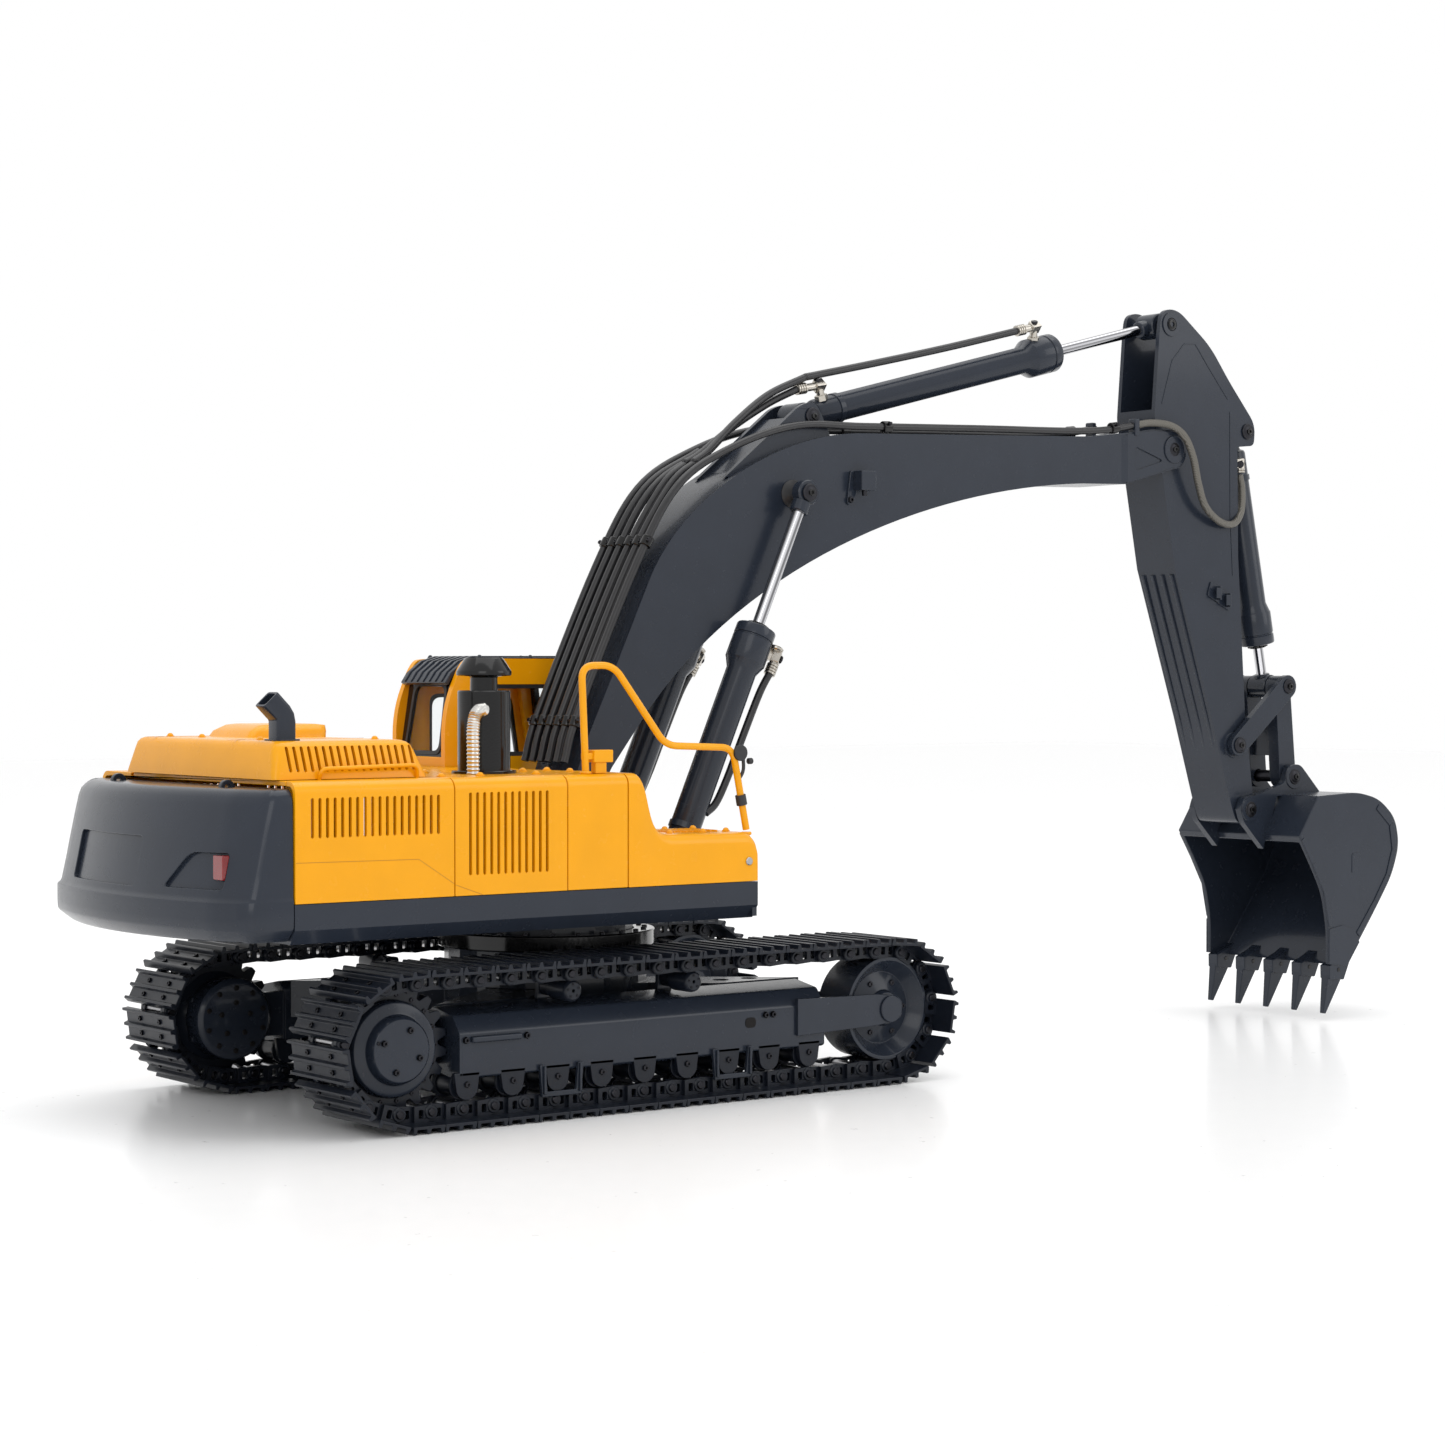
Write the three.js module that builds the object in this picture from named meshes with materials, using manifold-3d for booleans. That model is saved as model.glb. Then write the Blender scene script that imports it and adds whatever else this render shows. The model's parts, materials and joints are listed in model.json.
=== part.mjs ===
// Radio-controlled hydraulic excavator, 1:14, as an assembly of separate pieces.
// Millimetres. +X points to the bucket, +Y to the cab side, +Z up. The tracks stand on z = 0.
// Inside the model x = 0 is the slewing axis; the whole machine is shifted at the end, so that
// the origin is the middle of its footprint.
import * as THREE from 'three';
import { mergeVertices } from 'three/addons/utils/BufferGeometryUtils.js';
import Module from 'manifold-3d';

const wasm = await Module();
wasm.setup();

// ---------------------------------------------------------------- driving dimensions
const gap = 0.3;                 // clearance between pieces that touch

const trackCentre = 92;          // from the middle of the machine to the middle of a track
const shoeWidth = 56;
const wheelBase = 315;           // sprocket axle to idler axle
const axleHeight = 40.5;
const pitchRadius = 32;          // of the chain's pins round a wheel
const linkCount = 45;
const shoeOuter = 8.5;           // from the pin line out to the grouser tips
const shoeInner = 4.5;           // from the pin line out to the shoe's inside
const railInner = 3;             // from the pin line in to the rollers' running face
const railMiddle = 11.5;         // from the middle of the track to the middle of a link row
const railWidth = 4.4;
const sprocketTip = 34.2;
const toothCount = 21;
const rollerPitch = 27.4;
const rollerFirst = -118;
const rollerCount = 9;
const carrierPlaces = [-53, 24];
const carrierHeight = 63.4;
const carrierRadius = 5.7;

const houseHalf = 106;           // half of the house's width
const houseRear = -215.6;        // where the counterweight begins
const houseFront = 66;
const deckUnder = 95.4;
const skirtTop = 115;
const bodyTop = 174.6;
const sheet = 2.6;               // thickness of the body panels
const doorSeams = [-125, -57];
const deckHalf = 97;              // the deck reaches to the side panels' rounded upper edges
const toolBoxStep = -19;
const toolBoxTop = 142;

const cabRear = -38;
const cabInner = 44;
const cabOuter = 104;
const cabTop = 235;
const cabWall = 4;

// pivots of the digging gear, as [x, z]
const boomFoot = [6, 152];
const boomBase = [58, 112];      // lower ends of the two boom cylinders
const boomEye = [156.5, 330];    // their rod ends on the boom
const armPivot = [465, 369];
const armBase = [176, 376];      // lower end of the arm cylinder
const armEye = [467, 449];
const bucketPivot = [534.5, 138];
const linkBase = [525, 180];     // side links on the arm
const linkTop = [571, 218];      // side links, rod end and bucket link meet here
const linkBucket = [576, 158.5]; // bucket link on the bucket
const bucketBase = [537, 384];   // upper end of the bucket cylinder

const boomHalf = 21;
const armHalf = 17;
const bucketHalf = 54.4;
const pinRadius = 4;
const bore = pinRadius + gap;
const boomCylinderPlace = 33;    // from the middle of the machine to a boom cylinder

const hoseRadius = 2.2;
const hosePlaces = [-19.6, -12, -4, 4, 12, 19.6];
const hoseClamps = [[28, 247, 1.13], [76, 332, 0.8]]; // [x, z, lean] along the boom

// ---------------------------------------------------------------- shape helpers
function toSolid(geometry) {
  const bare = geometry.clone();
  bare.deleteAttribute('normal');
  bare.deleteAttribute('uv');
  const welded = mergeVertices(bare, 1e-4);
  const vertProperties = new Float32Array(welded.attributes.position.array);
  const triVerts = new Uint32Array(welded.index.array);
  return new wasm.Manifold(new wasm.Mesh({ numProp: 3, vertProperties, triVerts }));
}

function toGeometry(solid) {
  const { vertProperties, triVerts } = solid.getMesh();
  const geometry = new THREE.BufferGeometry();
  geometry.setAttribute('position', new THREE.BufferAttribute(vertProperties, 3));
  geometry.setIndex(new THREE.BufferAttribute(triVerts, 1));
  geometry.computeVertexNormals();
  return geometry;
}

function join(...pieces) {
  return toGeometry(pieces.map(toSolid).reduce((whole, piece) => whole.add(piece)));
}

function cut(base, ...tools) {
  return toGeometry(tools.map(toSolid).reduce((left, tool) => left.subtract(tool), toSolid(base)));
}

// outline of straight edges, each corner [a, b, radius] rounded where a radius is given
function outline(corners) {
  const shape = new THREE.Shape();
  corners.forEach(([a, b, radius = 0], i) => {
    const here = new THREE.Vector2(a, b);
    const before = new THREE.Vector2(...corners.at(i - 1)).sub(here).setLength(radius).add(here);
    const after = new THREE.Vector2(...corners[(i + 1) % corners.length]);
    after.sub(here).setLength(radius).add(here);
    if (i === 0) {
      shape.moveTo(before.x, before.y);
    } else {
      shape.lineTo(before.x, before.y);
    }
    if (radius > 0) {
      shape.quadraticCurveTo(a, b, after.x, after.y);
    }
  });
  return shape;
}

// round holes as twelve-sided outlines whose flats touch the round hole
function withHoles(shape, ...holes) {
  const sides = 12;
  for (const [a, b, radius] of holes) {
    const corner = radius / Math.cos(Math.PI / sides);
    shape.holes.push(new THREE.Path(Array.from({ length: sides }, (_, i) => {
      const turn = (2 * Math.PI * i) / sides;
      return new THREE.Vector2(a + corner * Math.cos(turn), b + corner * Math.sin(turn));
    })));
  }
  return shape;
}

function disc(a, b, radius) {
  const shape = new THREE.Shape();
  shape.absarc(a, b, radius, 0, 2 * Math.PI);
  return shape;
}

// bar with round ends between two points of the x-z plane, a hole in each end
function bar([ax, az], [bx, bz], startRadius, endRadius, ...holes) {
  const heading = Math.atan2(bz - az, bx - ax);
  const shape = new THREE.Shape();
  shape.absarc(ax, az, startRadius, heading + Math.PI / 2, heading - Math.PI / 2);
  shape.absarc(bx, bz, endRadius, heading - Math.PI / 2, heading + Math.PI / 2);
  return withHoles(shape, ...holes);
}

function extruded(shape, depth, segments) {
  return new THREE.ExtrudeGeometry(shape, { depth, bevelEnabled: false, curveSegments: segments });
}

// a shape drawn in x-z, from y = low to y = high
function prismY(shape, low, high, segments = 3) {
  return extruded(shape, high - low, segments).rotateX(Math.PI / 2).translate(0, high, 0);
}

// a shape drawn in y-z, from x = low to x = high
function prismX(shape, low, high, segments = 3) {
  const turn = new THREE.Matrix4().set(0, 0, 1, low, 1, 0, 0, 0, 0, 1, 0, 0, 0, 0, 0, 1);
  return extruded(shape, high - low, segments).applyMatrix4(turn);
}

// a shape drawn in x-y, from z = low to z = high
function prismZ(shape, low, high, segments = 3) {
  return extruded(shape, high - low, segments).translate(0, 0, low);
}

function block([x0, x1], [y0, y1], [z0, z1]) {
  const box = new THREE.BoxGeometry(x1 - x0, y1 - y0, z1 - z0);
  return box.translate((x0 + x1) / 2, (y0 + y1) / 2, (z0 + z1) / 2);
}

// a shaft along y, between y = low and y = high
function shaftY(x, z, radius, low, high, sides = 12) {
  const shaft = new THREE.CylinderGeometry(radius, radius, high - low, sides);
  return shaft.translate(x, (low + high) / 2, z);
}

function shaftZ(x, y, radius, low, high, sides = 12) {
  const shaft = new THREE.CylinderGeometry(radius, radius, high - low, sides);
  return shaft.rotateX(Math.PI / 2).translate(x, y, (low + high) / 2);
}

// a turned piece on the y axis; the profile [radius, y] runs round the section
function turned(profile, sides = 16) {
  return new THREE.LatheGeometry(profile.map(([r, y]) => new THREE.Vector2(r, y)), sides);
}

// a closed ring of revolution given by its section's corners
function ring(section, sides = 16) {
  return turned([...section, section[0]], sides);
}

// ---------------------------------------------------------------- finishes
const finishes = {
  slate: { color: '#343a45', roughness: 0.38, metalness: 0.25 },
  yellow: { color: '#f0a41c', roughness: 0.35, metalness: 0.1 },
  black: { color: '#0c0d0f', roughness: 0.3, metalness: 0.2 },
  steel: { color: '#c9ccd0', roughness: 0.15, metalness: 1 },
  chain: { color: '#2b3038', roughness: 0.45, metalness: 0.5 },
  plastic: { color: '#1b2330', roughness: 0.5, metalness: 0 },
};

function piece(group, name, geometry, finish, x = 0, y = 0, z = 0) {
  const mesh = new THREE.Mesh(geometry, new THREE.MeshStandardMaterial(finishes[finish]));
  mesh.name = name;
  mesh.position.set(x, y, z);
  group.add(mesh);
  return mesh;
}

const sideName = (side) => (side > 0 ? 'left' : 'right');

// ---------------------------------------------------------------- tracks
// pins of the chain loop, as points of the x-z plane, one link apart
function chainPins() {
  const half = wheelBase / 2;
  const arc = Math.PI * pitchRadius;
  const total = 2 * wheelBase + 2 * arc;
  return Array.from({ length: linkCount }, (_, i) => {
    const run = (total * i) / linkCount;
    if (run < wheelBase) {
      return new THREE.Vector2(-half + run, -pitchRadius);
    }
    if (run < wheelBase + arc) {
      const turn = (run - wheelBase) / pitchRadius;
      return new THREE.Vector2(half + pitchRadius * Math.sin(turn), -pitchRadius * Math.cos(turn));
    }
    if (run < 2 * wheelBase + arc) {
      return new THREE.Vector2(half - (run - wheelBase - arc), pitchRadius);
    }
    const turn = (run - 2 * wheelBase - arc) / pitchRadius;
    return new THREE.Vector2(-half - pitchRadius * Math.sin(turn), pitchRadius * Math.cos(turn));
  });
}

// the loop of pins moved outward by a distance, its corners mitred
function offsetLoop(points, distance) {
  return points.map((point, i) => {
    const before = point.clone().sub(points.at(i - 1)).normalize();
    const after = points[(i + 1) % points.length].clone().sub(point).normalize();
    const out = new THREE.Vector2(before.y + after.y, -before.x - after.x).normalize();
    const miter = distance / (out.x * before.y - out.y * before.x);
    return point.clone().addScaledVector(out, miter);
  });
}

function loopBand(outer, inner, low, high) {
  const shape = new THREE.Shape(offsetLoop(chainPins(), outer));
  shape.holes.push(new THREE.Path(offsetLoop(chainPins(), inner)));
  return prismY(shape, low, high);
}

function trackChain() {
  const rails = [-railMiddle, railMiddle].map((middle) =>
    loopBand(shoeInner + 0.5, -railInner, middle - railWidth / 2, middle + railWidth / 2));
  return join(loopBand(shoeOuter, shoeInner, -shoeWidth / 2, shoeWidth / 2), ...rails);
}

function driveSprocket(side) {
  const teeth = new THREE.Shape();
  const rootRadius = sprocketTip - 5;
  for (let i = 0; i < toothCount; i += 1) {
    for (const [share, radius] of [[0, rootRadius], [0.3, rootRadius], [0.55, sprocketTip], [0.75, sprocketTip]]) {
      const angle = (2 * Math.PI * (i + share)) / toothCount;
      const x = radius * Math.cos(angle);
      const z = radius * Math.sin(angle);
      if (i === 0 && share === 0) {
        teeth.moveTo(x, z);
      } else {
        teeth.lineTo(x, z);
      }
    }
  }
  const drum = turned([[0, -9.5], [19, -9.5], [24, -4], [24.4, 8], [22.5, 10.5], [17, 11.5], [16, 16.5], [0, 16.5]]);
  return join(prismY(teeth, -3.5, 3.5), side > 0 ? drum : drum.clone().rotateZ(Math.PI));
}

function idlerWheel() {
  return ring([[5.5, -13], [9, -13], [10, -9], [20, -6], [26.6, -13], [26.6, 13], [20, 6], [10, 9], [9, 13],
    [5.5, 13]], 18);
}

function carrierRoller(side) {
  const roller = ring([[2.3, -12.8], [4.4, -12.8], [4.4, -4], [carrierRadius, -3.4], [carrierRadius, 12],
    [4.6, 13.2], [0.6, 13.2], [0.6, 11], [2.3, 11]], 10);
  return side > 0 ? roller : roller.rotateZ(Math.PI);
}

// side frame with its idler fork, idler axle, lower rollers and carrier roller axles
function trackFrame(side) {
  const beam = outline([[-16, 26], [12, 24, 2], [14, 28], [14, 46], [7, 55], [-12, 58], [-16, 54]]
    .map(([y, z, r]) => [side * y, z, r]));
  const forkShape = outline([[92, 30], [150, 32], [166, 36, 3], [166, 45, 3], [150, 49], [92, 50]]);
  const forks = [-14.65, 14.65].map((y) => prismY(forkShape, y - 1.35, y + 1.35));
  const axle = shaftY(wheelBase / 2, axleHeight, 5, -16, 16, 14);
  const rollers = Array.from({ length: rollerCount }, (_, i) =>
    shaftY(rollerFirst + i * rollerPitch, 18.8, 6.8, -13.4, 13.4, 8));
  const straps = [-12.4, 12.4].map((y) =>
    block([rollerFirst - 6, rollerFirst + (rollerCount - 1) * rollerPitch + 6], [y - 1.3, y + 1.3], [19, 28]));
  const posts = carrierPlaces.flatMap((x) => [
    block([x - 4, x + 4], side > 0 ? [-16, -13.2] : [13.2, 16], [52, carrierHeight + 4]),
    shaftY(x, carrierHeight, 1.9, side > 0 ? -15 : -10, side > 0 ? 10 : 15, 8),
  ]);
  return join(prismX(beam, -121, 112), ...forks, axle, ...straps, ...rollers, ...posts);
}

function finalDrive(side) {
  const housing = turned([[0, -28], [21, -28], [22, -26], [22, -12], [16, -9.9], [0, -9.9]]);
  const bracket = block([-20, wheelBase / 2 - 121 - gap], [-15.8, -11], [-12, 12]);
  const drive = join(housing, bracket);
  return side > 0 ? drive : drive.rotateX(Math.PI);
}

function addTrack(group, side) {
  const name = sideName(side);
  const track = new THREE.Group();
  track.position.y = side * trackCentre;
  piece(track, `track_frame_${name}`, trackFrame(side), 'slate');
  piece(track, `track_chain_${name}`, trackChain(), 'chain', 0, 0, axleHeight);
  piece(track, `final_drive_${name}`, finalDrive(side), 'slate', -wheelBase / 2, 0, axleHeight);
  piece(track, `drive_sprocket_${name}`, driveSprocket(side), 'slate', -wheelBase / 2, 0, axleHeight);
  piece(track, `idler_wheel_${name}`, idlerWheel(), 'slate', wheelBase / 2, 0, axleHeight);
  carrierPlaces.forEach((x, i) => {
    const place = i === 0 ? 'rear' : 'front';
    piece(track, `carrier_roller_${place}_${name}`, carrierRoller(side), 'slate', x, 0, carrierHeight);
  });
  group.add(track);
}

// ---------------------------------------------------------------- chassis and slewing ring
function chassisFrame() {
  const reach = trackCentre - 16 - gap;
  const quarter = [[52, 22], [118, reach], [62, reach], [34, 50]];
  const corners = [
    ...quarter,
    ...quarter.map(([x, y]) => [-x, y]).reverse(),
    ...quarter.map(([x, y]) => [-x, -y]),
    ...quarter.map(([x, y]) => [x, -y]).reverse(),
  ];
  const holes = [1, -1].flatMap((side) => [[74, side * 62, 4.5], [92, side * 64, 4.5]]);
  const legs = prismZ(withHoles(outline(corners), ...holes), 38, 58);
  const turret = shaftZ(0, 0, 56, 50, 77.5, 24);
  return cut(join(legs, turret), shaftZ(0, 0, 32, 30, 80, 16));
}

function slewRingOuter() {
  const section = [[46, 77.8], [60, 77.8], [60, 86.5], [48.6, 86.5], [48.6, 81], [46, 81]];
  return ring(section, 24).rotateX(Math.PI / 2);
}

// ---------------------------------------------------------------- revolving frame
// plates that carry the boom foot and the lower ends of the boom cylinders
function bootPlate(low, high) {
  const shape = outline([[-46, 97], [-12, 160, 6], [10, 168, 8], [22, 156, 4], [50, 119, 3], [65, 118, 3],
    [68, 97]]);
  return prismY(withHoles(shape, [...boomFoot, bore]), low, high);
}

function cylinderLug(low, high) {
  const shape = outline([[38, 97], [50, 119, 3], [65, 118, 3], [68, 97]]);
  return prismY(shape, low, high);
}

function sideBeam(side) {
  const section = outline([[92, deckUnder], [101, deckUnder], [houseHalf, deckUnder + 7], [houseHalf, skirtTop],
    [103, skirtTop], [103, deckUnder + 8], [100, deckUnder + 4], [92, deckUnder + 4]]
    .map(([y, z]) => [side * y, z]));
  return prismX(section, houseRear, houseFront);
}

function frontBeam(side) {
  const [low, high] = [side * 38, side * 105].sort((a, b) => a - b);
  return block([houseFront - 3, houseFront], [low, high], [deckUnder + 1, skirtTop]);
}

function revolvingFrame() {
  const deck = block([houseRear, houseFront], [-94, 94], [deckUnder, deckUnder + 4]);
  const bearing = ring([[38, 81.4], [48.2, 81.4], [48.2, 96], [38, 96]], 24).rotateX(Math.PI / 2);
  const stubs = [1, -1].flatMap((side) => {
    const [x, z] = boomBase;
    return [[25, 30], [36, 39]].map((reach) =>
      shaftY(x, z, pinRadius, ...reach.map((y) => side * y).sort((a, b) => a - b)));
  });
  return join(
    deck,
    bearing,
    sideBeam(1),
    sideBeam(-1),
    frontBeam(1),
    frontBeam(-1),
    bootPlate(22, 26),
    bootPlate(-26, -22),
    cylinderLug(37, 40),
    cylinderLug(-40, -37),
    ...stubs,
  );
}

// ---------------------------------------------------------------- counterweight
// closed body lofted through plan outlines of equal length, each at its own height
function lofted(levels) {
  const count = levels[0].points.length;
  const positions = levels.flatMap(({ points, z }) => points.flatMap(([x, y]) => [x, y, z]));
  const cap = THREE.ShapeUtils.triangulateShape(levels[0].points.map((p) => new THREE.Vector2(...p)), []);
  const top = (levels.length - 1) * count;
  const faces = cap.flatMap(([a, b, c]) => [c, b, a, top + a, top + b, top + c]);
  for (let level = 0; level < levels.length - 1; level += 1) {
    for (let i = 0; i < count; i += 1) {
      const a = level * count + i;
      const b = level * count + ((i + 1) % count);
      faces.push(a, b, b + count, a, b + count, a + count);
    }
  }
  const geometry = new THREE.BufferGeometry();
  geometry.setAttribute('position', new THREE.Float32BufferAttribute(positions, 3));
  geometry.setIndex(faces);
  return geometry;
}

// plan outline: flat front, bevelled corners and a bowed rear, drawn in by an inset
function counterweightPlan(inset, lean) {
  const front = houseRear - gap;
  const corner = houseHalf - inset;
  const rear = [];
  for (let i = 0; i <= 8; i += 1) {
    const share = 1 - i / 4;
    rear.push([-262 + 13 * share * share + lean + inset, 90 * share - inset * share]);
  }
  return [[front, -corner], [front, corner], [-240 + lean, corner], ...rear, [-240 + lean, -corner]];
}

function counterweight() {
  return lofted([
    { z: 97, points: counterweightPlan(7, 0) },
    { z: 103, points: counterweightPlan(0.5, 0) },
    { z: 117, points: counterweightPlan(0, 0) },
    { z: 119, points: counterweightPlan(0.6, 1.5) },
    { z: 163, points: counterweightPlan(1, 11) },
    { z: 171, points: counterweightPlan(5, 13) },
  ]);
}

// ---------------------------------------------------------------- body panels
function slots(from, pitch, count, [low, high], y) {
  return Array.from({ length: count }, (_, i) =>
    block([from + i * pitch, from + i * pitch + 1.7], [y - 4, y + 4], [low, high]));
}

// upright panel with its rounded upper edge, from x0 to x1 on one side of the body
function sidePanel(x0, x1, side) {
  const inside = houseHalf - sheet;
  const section = outline([[inside, skirtTop + gap], [houseHalf, skirtTop + gap], [houseHalf, bodyTop, 6],
    [deckHalf + gap, bodyTop], [deckHalf + gap, bodyTop - sheet], [inside, bodyTop - sheet, 3.5]]
    .map(([y, z, r]) => [side * y, z, r]));
  return prismX(section, x0, x1);
}

function rearDoor(side) {
  const ribs = Array.from({ length: 6 }, (_, i) => i * 13.6 - 208);
  const cuts = ribs.map((x) => block([x, x + 9], [side * houseHalf - 4, side * houseHalf + 4], [142, 163]));
  return cut(sidePanel(houseRear + gap, doorSeams[0] - gap, side), ...cuts);
}

function middleDoor() {
  const panel = sidePanel(doorSeams[0] + gap, doorSeams[1] - gap, -1);
  return cut(panel, ...slots(-116, 13, 4, [122, 160], -houseHalf));
}

// fixed panel between the left-hand door and the cab, joined to the deck by a short strip
function cabSidePanel() {
  const panel = sidePanel(doorSeams[0], cabRear - 1, 1);
  const strip = block([doorSeams[0], cabRear - 1], [deckHalf - 2, deckHalf + 1], [bodyTop - sheet, bodyTop]);
  return join(cut(panel, ...slots(-112, 13, 5, [122, 160], houseHalf)), strip);
}

// top of the body between the counterweight and the cab
function upperDeck() {
  const plate = block([houseRear, toolBoxStep - gap], [-deckHalf, deckHalf], [bodyTop - sheet, bodyTop]);
  const cabRoom = block([cabRear - 1, toolBoxStep + 1], [cabInner - 1, houseHalf + 1], [150, 180]);
  const boomRoom = block([-22, toolBoxStep + 1], [-28, cabInner], [150, 180]);
  const toolBoxRoom = block([doorSeams[1], toolBoxStep + 1], [-houseHalf, -50 + gap], [150, 180]);
  const breather = block([-200, -150], [-60, 40], [150, 180]);
  const feet = [-94, 88].map((y) => block([-211, -207], [y, y + 6], [deckUnder + 4 + gap, bodyTop - 1]));
  return join(cut(plate, cabRoom, boomRoom, toolBoxRoom, breather), cabSidePanel(), ...feet);
}

// tool box in front of the right-hand doors, with its curved step down to the front deck
function toolBox() {
  const rear = doorSeams[1] + gap;
  const profile = (wall) => {
    const floor = skirtTop + gap - 2 * wall;
    const shape = new THREE.Shape();
    shape.moveTo(rear + wall, floor);
    shape.lineTo(rear + wall, bodyTop - wall);
    shape.lineTo(toolBoxStep + 6 - wall, bodyTop - wall);
    shape.bezierCurveTo(-6, bodyTop - wall, -8 - wall, toolBoxTop - wall, 10 - wall, toolBoxTop - wall);
    shape.lineTo(houseFront - 4 - wall, toolBoxTop - wall);
    shape.lineTo(houseFront - wall, toolBoxTop - 6 - wall);
    shape.lineTo(houseFront - wall, floor);
    return shape;
  };
  const shell = prismY(profile(0), -houseHalf, -50);
  return cut(shell, prismY(profile(sheet), -houseHalf + sheet, -50 - sheet));
}

function engineHood() {
  const corners = (wall) => [[-219 + wall, bodyTop + gap - wall * 2], [-214 + wall, 193 - wall], [-140 - wall, 193 - wall],
    [-134 - wall, 187 - wall], [-132 - wall, bodyTop + gap - wall * 2]];
  const outer = prismY(outline(corners(0)), -88, 68);
  const inner = prismY(outline(corners(sheet)), -88 + sheet, 68 - sheet);
  const bulge = prismY(outline([[-186, 190], [-176, 205, 4], [-128, 199, 3], [-140, 190]]), -8, 52);
  return join(cut(outer, inner), bulge);
}

function exhaustStack() {
  return prismY(outline([[-211, 193 + gap], [-211, 204], [-218, 214], [-209, 219], [-197, 208], [-197, 193 + gap]]), -80, -65);
}

function muffler() {
  const profile = [[0, 0], [15, 0], [15, 42], [7.5, 42], [7.5, 50], [15.5, 51], [11, 60], [0, 60]];
  return turned(profile, 18).rotateX(Math.PI / 2);
}

function handrail() {
  const y = -98;
  const bends = [[-40, 175.2], [-41, 205], [-42, 225], [-36, 231], [-24, 230], [-16, 222], [6, 193], [13, 188],
    [44, 187], [54, 184], [58, 176], [63, 150], [64, 142.8]];
  const path = new THREE.CatmullRomCurve3(bends.map(([x, z]) => new THREE.Vector3(x, y, z)), false, 'centripetal');
  const section = new THREE.Shape();
  section.absarc(0, 0, 1.9, 0, 2 * Math.PI);
  const options = { steps: 26, extrudePath: path, curveSegments: 3 };
  return new THREE.ExtrudeGeometry(section, options);
}

// ---------------------------------------------------------------- cab
function cabFrame() {
  const low = deckUnder + 8.6;
  const side = outline([[cabRear, low], [cabRear, cabTop - 26, 6], [cabRear + 14, cabTop, 6], [56, cabTop, 8],
    [63, 170], [63, low]]);
  const room = outline([[cabRear + cabWall, low + cabWall], [cabRear + cabWall, cabTop - 28],
    [cabRear + 16, cabTop - cabWall], [51, cabTop - cabWall], [58, 170], [58, low + cabWall]]);
  const window = outline([[cabRear + 12, 178, 4], [cabRear + 12, 212, 5], [-16, 220, 4], [46, 220, 4], [50, 178, 4]]);
  const doorway = outline([[-18, 120, 4], [-18, 220, 5], [46, 220, 5], [54, 170, 2], [54, 120, 4]]);
  const outer = prismY(side, cabInner, cabOuter - 3.5);
  return cut(
    outer,
    prismY(room, cabInner + cabWall, cabOuter - 3.5 - cabWall),
    prismY(window, cabInner - 5, cabInner + 10),
    prismY(doorway, cabOuter - 15, cabOuter + 1),
    block([cabRear - 5, cabRear + 20], [cabInner + 12, cabOuter - 15], [182, 206]),
    block([48, 70], [cabInner + 9, cabOuter - 12], [128, 216]),
  );
}

function cabDoor() {
  const panel = outline([[-20, skirtTop + 1, 4], [-20, 222, 6], [47, 222, 7], [57, 170, 2], [57, skirtTop + 1, 4]]);
  const pane = outline([[-14, 150, 4], [-14, 215, 4], [43, 215, 5], [50, 170, 2], [50, 150, 4]]);
  return cut(prismY(panel, cabOuter - 3.5 + gap, cabOuter), prismY(pane, cabOuter - 8, cabOuter + 5));
}

// ---------------------------------------------------------------- drive and hydraulics inside
function addEquipment(group) {
  const floor = deckUnder + 4 + gap;
  piece(group, 'battery_pack', block([-205, -150], [-72, -32], [floor, floor + 34]), 'plastic');
  const motor = turned([[0, 0], [14, 0], [14, 32], [5, 33], [5, 42], [0, 42]], 18).rotateZ(-Math.PI / 2);
  const pump = block([38, 66], [-10, 10], [-12, 12]);
  piece(group, 'motor_pump', join(motor, pump), 'black', -205, 10, floor + 15);
  piece(group, 'oil_tank', block([-128, -70], [-80, -36], [floor, floor + 50]), 'slate');
  piece(group, 'valve_block', block([-120, -62], [-24, 14], [floor, floor + 30]), 'steel');
}

// ---------------------------------------------------------------- boom
function boomOutline() {
  const [ax, az] = armPivot;
  const [fx, fz] = boomFoot;
  const shape = new THREE.Shape();
  shape.moveTo(fx - 9, fz + 4);
  shape.lineTo(13, 190);
  shape.lineTo(56, 280);
  shape.bezierCurveTo(78.5, 326, 148, 366.5, 212, 367.5);
  shape.lineTo(392, 374);
  shape.lineTo(446, 381);
  shape.lineTo(ax, az + 12.5);
  shape.absarc(ax, az, 12.5, Math.PI / 2, -Math.PI / 2, true);
  shape.lineTo(423, 345.5);
  shape.lineTo(385, 344.5);
  shape.bezierCurveTo(265, 338, 128, 292, 56, 208);
  shape.lineTo(30, 175);
  shape.lineTo(fx + 9, fz - 2);
  shape.absarc(fx, fz, 9.4, -0.2, Math.PI - 0.45, true);
  return withHoles(shape, [fx, fz, bore], [ax, az, bore], [...boomEye, bore]);
}

// the hollow inside the boom's box section
function boomHollow() {
  const shape = new THREE.Shape();
  shape.moveTo(36, 205);
  shape.lineTo(62, 278);
  shape.bezierCurveTo(84, 322, 150, 361, 212, 363.5);
  shape.lineTo(392, 369.5);
  shape.lineTo(392, 349);
  shape.bezierCurveTo(262, 342, 124, 296, 56, 218);
  return prismY(shape, -boomHalf + 2.4, boomHalf - 2.4, 5);
}

function armCylinderBracket(low, high) {
  const [x, z] = armBase;
  const shape = outline([[124, 330], [x - 10, z + 4, 3], [x + 2, z + 9, 6], [x + 9, z - 2, 5], [190, 355]]);
  return prismY(withHoles(shape, [x, z, bore]), low, high);
}

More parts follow.
